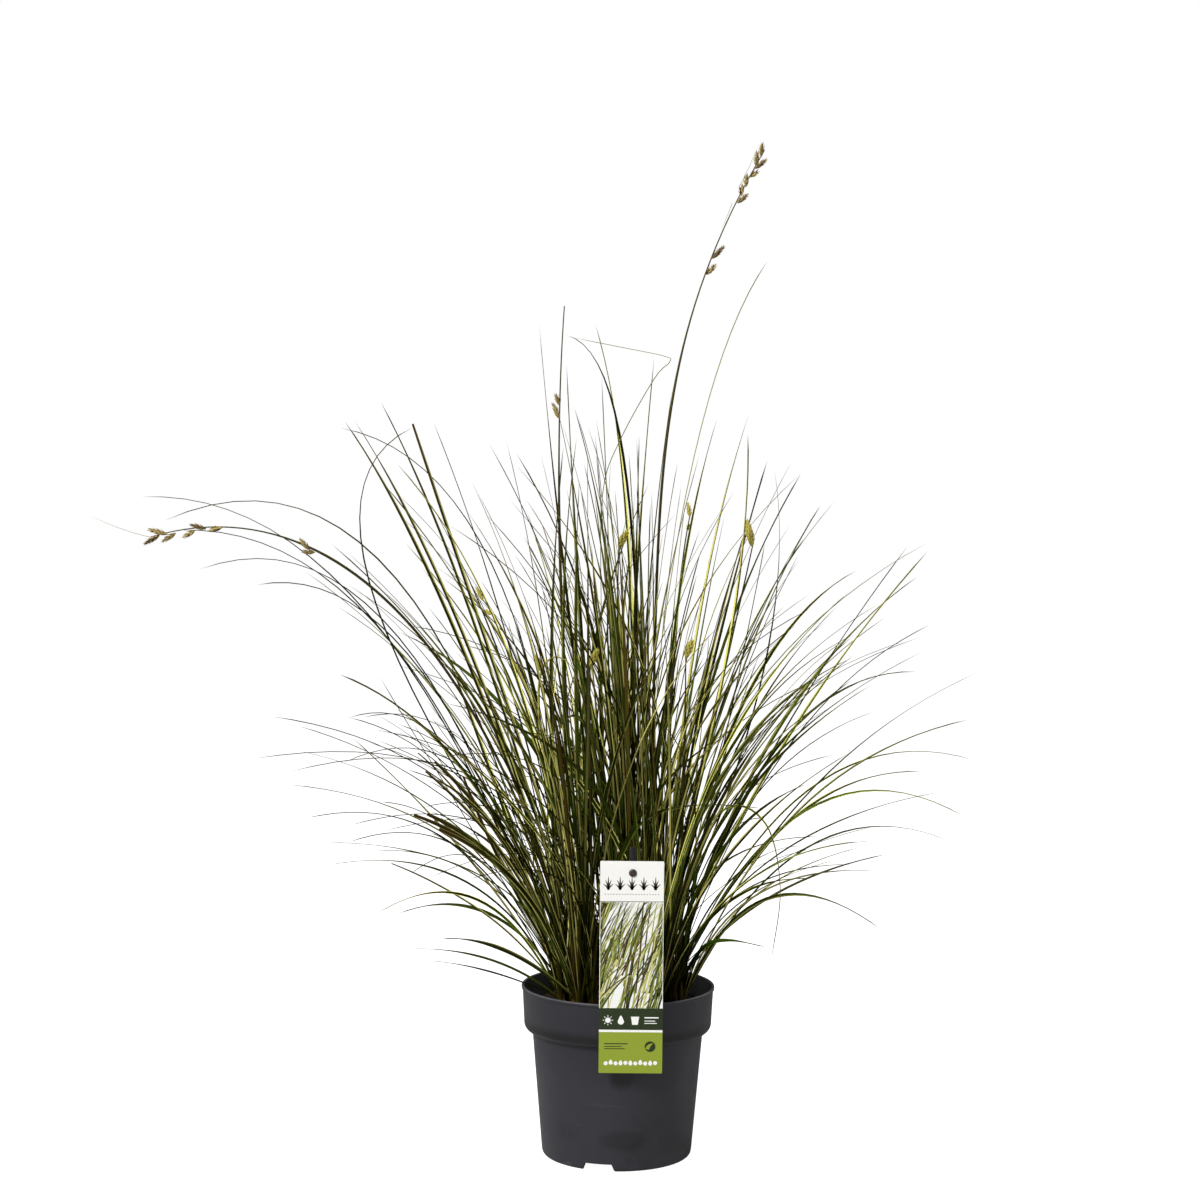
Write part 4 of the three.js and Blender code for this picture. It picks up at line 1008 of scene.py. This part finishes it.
feed(tree, shader, {
    "Base Color": mixed(tree, dry, colour, dry_colour), "Roughness": 0.45,
    "Specular IOR Level": 0.04, "Normal": fibre.outputs["Normal"],
})

SCALES_PER_CROWN = 9
TURNED_TO_FRONT = 1.1
for index, shoot in enumerate(shoots):
    draw = draws(index + 9001)
    bm = bmesh.new()
    bm.loops.layers.uv.new("blade")
    looks = []  # one row of LOOKS for each strip
    for leaf in shoot["leaves"]:
        bent, facing = "at" in leaf, leaf.get("facing")
        slim = leaf["width"] * leaf.get("full", 1) < 1.9
        shares = np.linspace(0, 1, 41 if bent else 23)
        path = np.array([leaf["at"](t) for t in shares]) if bent else on_curve(leaf["corners"], shares)
        sway, phase = draw(-2.0, 2.0), draw(0, 6.28)
        waves = np.sin(shares * 9 + phase) * shares * (1 - shares) * sway
        path += np.outer(waves, (draw(-1, 1), draw(-1, 1), 0))
        fullness = leaf.get("full", BLADE_FULLNESS * draw(0.4, 1.05))
        widths = fullness * leaf["width"] * width_share(shares, leaf["cut_tip"])
        widths *= np.minimum(1, 0.8 + shares) * (0.87 if shoot["x"] > 30 else 1)
        if not leaf["cut_tip"]:
            widths *= np.minimum(1, (1 - shares) / leaf.get("taper", draw(0.06, 0.55))) ** 0.85
            end = leaf.get("end", draw(0.7, 1.1)) * np.minimum(1, (1 - shares) / 0.04)
            widths = np.maximum(widths, end)
        path, widths = np.vstack([path[:1], path]), np.concatenate([[0], widths])
        if leaf["cut_tip"]:
            path, widths = np.vstack([path, path[-1:]]), np.concatenate([widths, [0]])
        turned, twist = draw(-0.9, 0.9), draw(-1.1, 1.1)
        if facing or bent:
            turned, twist = TURNED_TO_FRONT, 0.2 * twist
        sections = blade_sections(widths, 0.7, 0.55) if slim else blade_sections(widths)
        lay_strip(bm, path, sections, len(looks), leaf["roll"] + turned, twist)
        tint = draw(0.6, 0.95) if facing else draw(0.6, 1.0) if slim else draw()
        cream = 1 if facing else 0 if slim else min(1, max(0, draw(-0.35, 1.8)))
        lopsided = draw(-0.3, 0.3) if facing else draw(-1, 1)
        looks.append((leaf.get("tint", tint), leaf.get("cream", cream), lopsided, max(0, draw(-24, 0.9))))
    x, y = shoot["x"], shoot["y"]
    crown = np.array([(x, y, z) for z in (119, 119, 126, 134, 142, 148, 152, 156, 160)], float)
    lay_strip(bm, crown, round_sections((0, 3.4, 3.5, 3.4, 3.0, 2.4, 1.7, 1.0, 0), 12), len(looks))
    looks.append((draw(), 0, 0, 1))
    for scale in range(SCALES_PER_CROWN):
        azimuth = draw(0, 6.28)
        out = np.array((math.cos(azimuth), math.sin(azimuth), 0))
        foot = np.array((x, y, 131)) + out * 2.8
        top = foot + out * draw(2, 30) + (0, 0, draw(30, 130))
        path = on_curve([foot, foot + (0, 0, 30), top], np.linspace(0, 1, 9))
        widths = np.array([0, 2.8, 3.2, 3.1, 2.8, 2.3, 1.6, 0.8, 0])
        lay_strip(bm, path, blade_sections(widths), len(looks), 0, draw(-0.5, 0.5))
        looks.append((draw(0.5, 1), 0, 0, 0.6 * draw() ** 3))
    bmesh.ops.remove_doubles(bm, verts=bm.verts, dist=0.001 * MM)
    piece = put_in_scene(f"leafy_shoot_{index + 1}", bm, leaf_skin)
    finish_strips(piece, dict(zip(LOOKS, zip(*looks))))
    add_bake_columns(piece, len(looks))
    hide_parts(f"shoot_{index + 1}")
    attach(piece, "root")


# ---- the label's stake ----
# A black plastic strip that is pushed into the soil, leans out over the rim and stands up
# behind the label, which hangs on its peg under a domed button.
PEG_X, PEG_Z = 11, 263.5
bm = bmesh.new()
STRIP_SIDE = [
    (-60.4, 112), (-59.2, 112), (-83.05, 236), (-83.05, 285), (-85.05, 285), (-85.05, 236), (-61.4, 118),
]
extrude(bm, [bm.faces.new([bm.verts.new(Vector((8.5, y, z)) * MM) for y, z in STRIP_SIDE])], (5, 0, 0))
bmesh.ops.bevel(
    bm, geom=bm.edges[:], offset=0.35 * MM, segments=2, profile=0.5, affect="EDGES", material=-1,
    clamp_overlap=True,
)
peg = bmesh.new()
PEG_CORNERS = [
    (0, 0, 0), (1.7, 0, 0), (1.7, 1.8, 0), (3.4, 1.8, 0.3), (3.3, 2.5, 0.5), (2.2, 3.15, 0.5), (0, 3.3, 0),
]
spun(peg, PEG_CORNERS, 32)
to_front = Matrix.Translation(Vector((PEG_X, -84.7, PEG_Z)) * MM) @ Matrix.Rotation(math.radians(90), 4, "X")
bmesh.ops.transform(peg, matrix=to_front, verts=peg.verts)
peg_mesh = bpy.data.meshes.new("peg")
peg.to_mesh(peg_mesh)
peg.free()
bm.from_mesh(peg_mesh)

stake_plastic, tree, shader = new_material("black stake plastic")
grain = add(tree, "Group", {"Grain Size": 2600, "Depth": 0.15}, node_tree=plastic_grain)
colour = mixed(tree, grain.outputs["Mottle"], paint(16, 16, 18), paint(32, 32, 35))
button = between(tree, parts_of(tree, object_place(tree))[1], -0.0862, -0.0872)
colour = coated(tree, colour, [(button, 0.6, paint(74, 58, 46))])
feed(tree, shader, {"Base Color": colour, "Roughness": 0.34, "Normal": grain.outputs["Normal"]})
stake = put_in_scene("stake_with_peg", bm, stake_plastic)
smooth_to(stake, 40)
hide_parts("label_stake")
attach(stake, "root")


# ---- the label ----
# A plate of white plastic film with rounded corners, which hangs on the peg. It is printed on
# its front: a pale heading, a band with drawn leaves, a dark green band and a lime one.
LABEL_LEFT, LABEL_RIGHT, LABEL_LOW, LABEL_HIGH = -16.6, 37.4, 92, 273.5
LABEL_BACK_Y, LABEL_THICK = -85.4, 0.8
INKS = {
    "bare": paint(253, 252, 247), "rule": paint(110, 110, 104), "sky": paint(252, 252, 246),
    "forest": paint(36, 50, 21), "lime": paint(148, 164, 48), "white": paint(254, 254, 250),
}
bm = bmesh.new()
corners = [
    (LABEL_LEFT, LABEL_LOW), (LABEL_RIGHT, LABEL_LOW), (LABEL_RIGHT, LABEL_HIGH), (LABEL_LEFT, LABEL_HIGH),
]
bm.faces.new([bm.verts.new(Vector((x, LABEL_BACK_Y, z)) * MM) for x, z in corners])
bmesh.ops.bevel(bm, geom=bm.verts[:], offset=1 * MM, segments=4, profile=0.5, affect="VERTICES", material=-1)
BANDS = [
    # the top of each, and its ink
    (127.2, "lime"), (129.2, "white"), (147.8, "forest"), (238.7, "sky"), (239.3, "rule"), (273.5, "bare"),
]
for height, _ in BANDS[:-1]:
    everything = bm.verts[:] + bm.edges[:] + bm.faces[:]
    bmesh.ops.bisect_plane(bm, geom=everything, plane_co=(0, 0, height * MM), plane_no=(0, 0, 1))
extrude(bm, bm.faces[:], (0, -LABEL_THICK, 0))
ink_layer = bm.loops.layers.float_color.new("ink")


def ink_faces(faces, ink):
    """Prints faces in one ink."""
    for face in faces:
        for corner in face.loops:
            corner[ink_layer] = ink


for face in bm.faces:
    height = face.calc_center_median().z / MM
    printed = face.normal.y < -0.9
    ink_faces([face], INKS[next(ink for top, ink in BANDS if height < top)] if printed else INKS["bare"])
PICTURE_LOW, PICTURE_TOP = 147.8, 238.5


def print_point(x, z, layer):
    """A point just in front of the label, with later layers over earlier ones."""
    return Vector((x, LABEL_BACK_Y - LABEL_THICK - 0.02 - 0.012 * layer, z)) * MM


def print_strip(start, middle, end, width, ink, layer, top=LABEL_HIGH):
    """Prints a curved, pointed stroke on the label's front."""
    path = on_curve([start, middle, end], np.linspace(0, 1, 11))
    made = bmesh.ops.create_grid(bm, x_segments=1, y_segments=10, size=0.5)["verts"]
    aim = np.gradient(path, axis=0)
    across = np.stack([aim[:, 1], -aim[:, 0]], 1) / np.linalg.norm(aim, axis=1)[:, None]
    halves = width / 2 * (1 - np.linspace(0, 1, 11) ** 2) + 0.04
    for number, vertex in enumerate(made):
        row, side = divmod(number, 2)
        x, z = path[row] + across[row] * halves[row] * (1 if side else -1)
        x, z = min(LABEL_RIGHT - 0.5, max(LABEL_LEFT + 0.5, x)), min(z, top)
        vertex.co = print_point(x, z, layer)
    faces = {face for vertex in made for face in vertex.link_faces}
    bmesh.ops.recalc_face_normals(bm, faces=list(faces))
    if next(iter(faces)).normal.y > 0:
        bmesh.ops.reverse_faces(bm, faces=list(faces))
    ink_faces(faces, ink)


def print_shape(corners, ink, layer):
    """Prints a filled outline on the label's front."""
    face = bm.faces.new([bm.verts.new(print_point(x, z, layer)) for x, z in corners])
    face.normal_update()
    if face.normal.y > 0:
        face.normal_flip()
    ink_faces([face], ink)


def print_bar(left, low, width, height, ink):
    """Prints an oblong."""
    right, high = left + width, low + height
    print_shape([(left, low), (right, low), (right, high), (left, high)], ink, 1)


def print_disc(middle_x, middle_z, radius, ink, sides=20, drop=0.0, layer=1):
    """Prints a disc, or a drop where its top is drawn out to a point."""
    corners = []
    for i in range(sides):
        angle = 2 * math.pi * i / sides
        x, z = radius * math.sin(angle), radius * math.cos(angle)
        upper = drop * max(0, z)
        corners.append((middle_x + x * (1 - 0.55 * upper / radius), middle_z + z + 0.9 * upper))
    print_shape(corners, ink, layer)


# the picture band: leaves that lean to the right, over one another
draw = draws(31)
LEAF_INKS = [
    paint(66, 80, 26), paint(106, 116, 40), paint(38, 42, 14), paint(210, 206, 134), paint(134, 142, 60),
    paint(90, 64, 32), paint(164, 170, 84),
]
PRINTED_LEAVES, LAYERS = 180, 12
for number in range(PRINTED_LEAVES):
    feet = [(draw(-24, 37), PICTURE_LOW), (draw(-26, -15), draw(150, 226)), (draw(-6, 34), draw(160, 206))]
    foot_x, foot_z = feet[number % 3]
    lean, rise = draw(8, 42), draw(30, 92)
    bend = draw(0.15, 0.6)
    print_strip(
        (foot_x, foot_z), (foot_x + lean * bend, foot_z + rise * 0.6), (foot_x + lean, foot_z + rise),
        draw(0.6, 1.6), LEAF_INKS[number % len(LEAF_INKS)], number % LAYERS, PICTURE_TOP,
    )

# the heading: a row of drawn tufts over a row of dots
for number in range(5):
    middle_x = -9.6 + 10 * number
    for lean, rise in ((-4.6, 5), (-2.7, 8.5), (0, 11.5), (2.7, 8.5), (4.6, 5)):
        print_strip(
            (middle_x, 249), (middle_x + lean * 0.2, 249 + rise * 0.6), (middle_x + lean, 249 + rise),
            1.5, paint(68, 56, 50), 1,
        )
for number in range(20):
    print_disc(-12.1 + 2.37 * number, 245.2, 0.5, paint(110, 104, 92), sides=6)

# the dark band: a sun, a drop and a pot as white signs, with rules beside them and in the lime band
WHITE = INKS["white"]
print_disc(-9, 137.4, 2.3, WHITE)
for i in range(8):
    ray = Vector((math.cos(i * math.pi / 4), math.sin(i * math.pi / 4)))
    print_strip(*(tuple(Vector((-9, 137.4)) + ray * reach) for reach in (3.1, 3.9, 4.6)), 0.7, WHITE, 1)
print_disc(2, 136.4, 2.7, WHITE, drop=1.0)
print_shape([(10.5, 140.6), (17.5, 140.6), (16.4, 133.6), (11.6, 133.6)], WHITE, 1)
for left, low, width, height, ink in [
    (22, 139.2, 12, 1.1, "white"), (22, 136.6, 9, 0.7, "white"), (22, 134.6, 10.5, 0.7, "white"),
    (-12, 116.8, 20, 0.9, "forest"), (-12, 114.6, 15, 0.7, "forest"), (-12, 112.6, 17.5, 0.7, "forest"),
]:
    print_bar(left, low, width, height, INKS[ink])

# the lime band: a round leaf sign, and a row of beads and drops
print_disc(27, 115, 4.6, INKS["forest"])
print_strip((24.6, 112.6), (25.4, 116.2), (29.6, 117.8), 3.2, INKS["lime"], 3)
for number in range(11):
    height = 100.4 + (0.5 if number % 3 == 1 else 0)
    print_disc(-10.6 + 4.2 * number, height, 1.75, WHITE, sides=16, drop=(number % 2) * 0.6)

label_film, tree, shader = new_material("printed plastic film")
place = object_place(tree)
ink = add(tree, "Attribute", attribute_name="ink").outputs["Color"]
fine, smudge = noise_of(tree, place, 700, 3), noise_of(tree, place, 22, 3)
feed(tree, shader, {
    "Base Color": mixed(tree, between(tree, fine, 0.2, 0.8, 0.0, 0.07), ink, paint(150, 148, 140)),
    "Roughness": between(tree, smudge, 0.3, 0.7, 0.26, 0.42), "Specular IOR Level": 0.2,
    "Normal": bumps_of(tree, fine, 0.12, 0.0002),
})
label = put_in_scene("plant_label", bm, label_film)
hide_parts("label")
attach(label, "root")
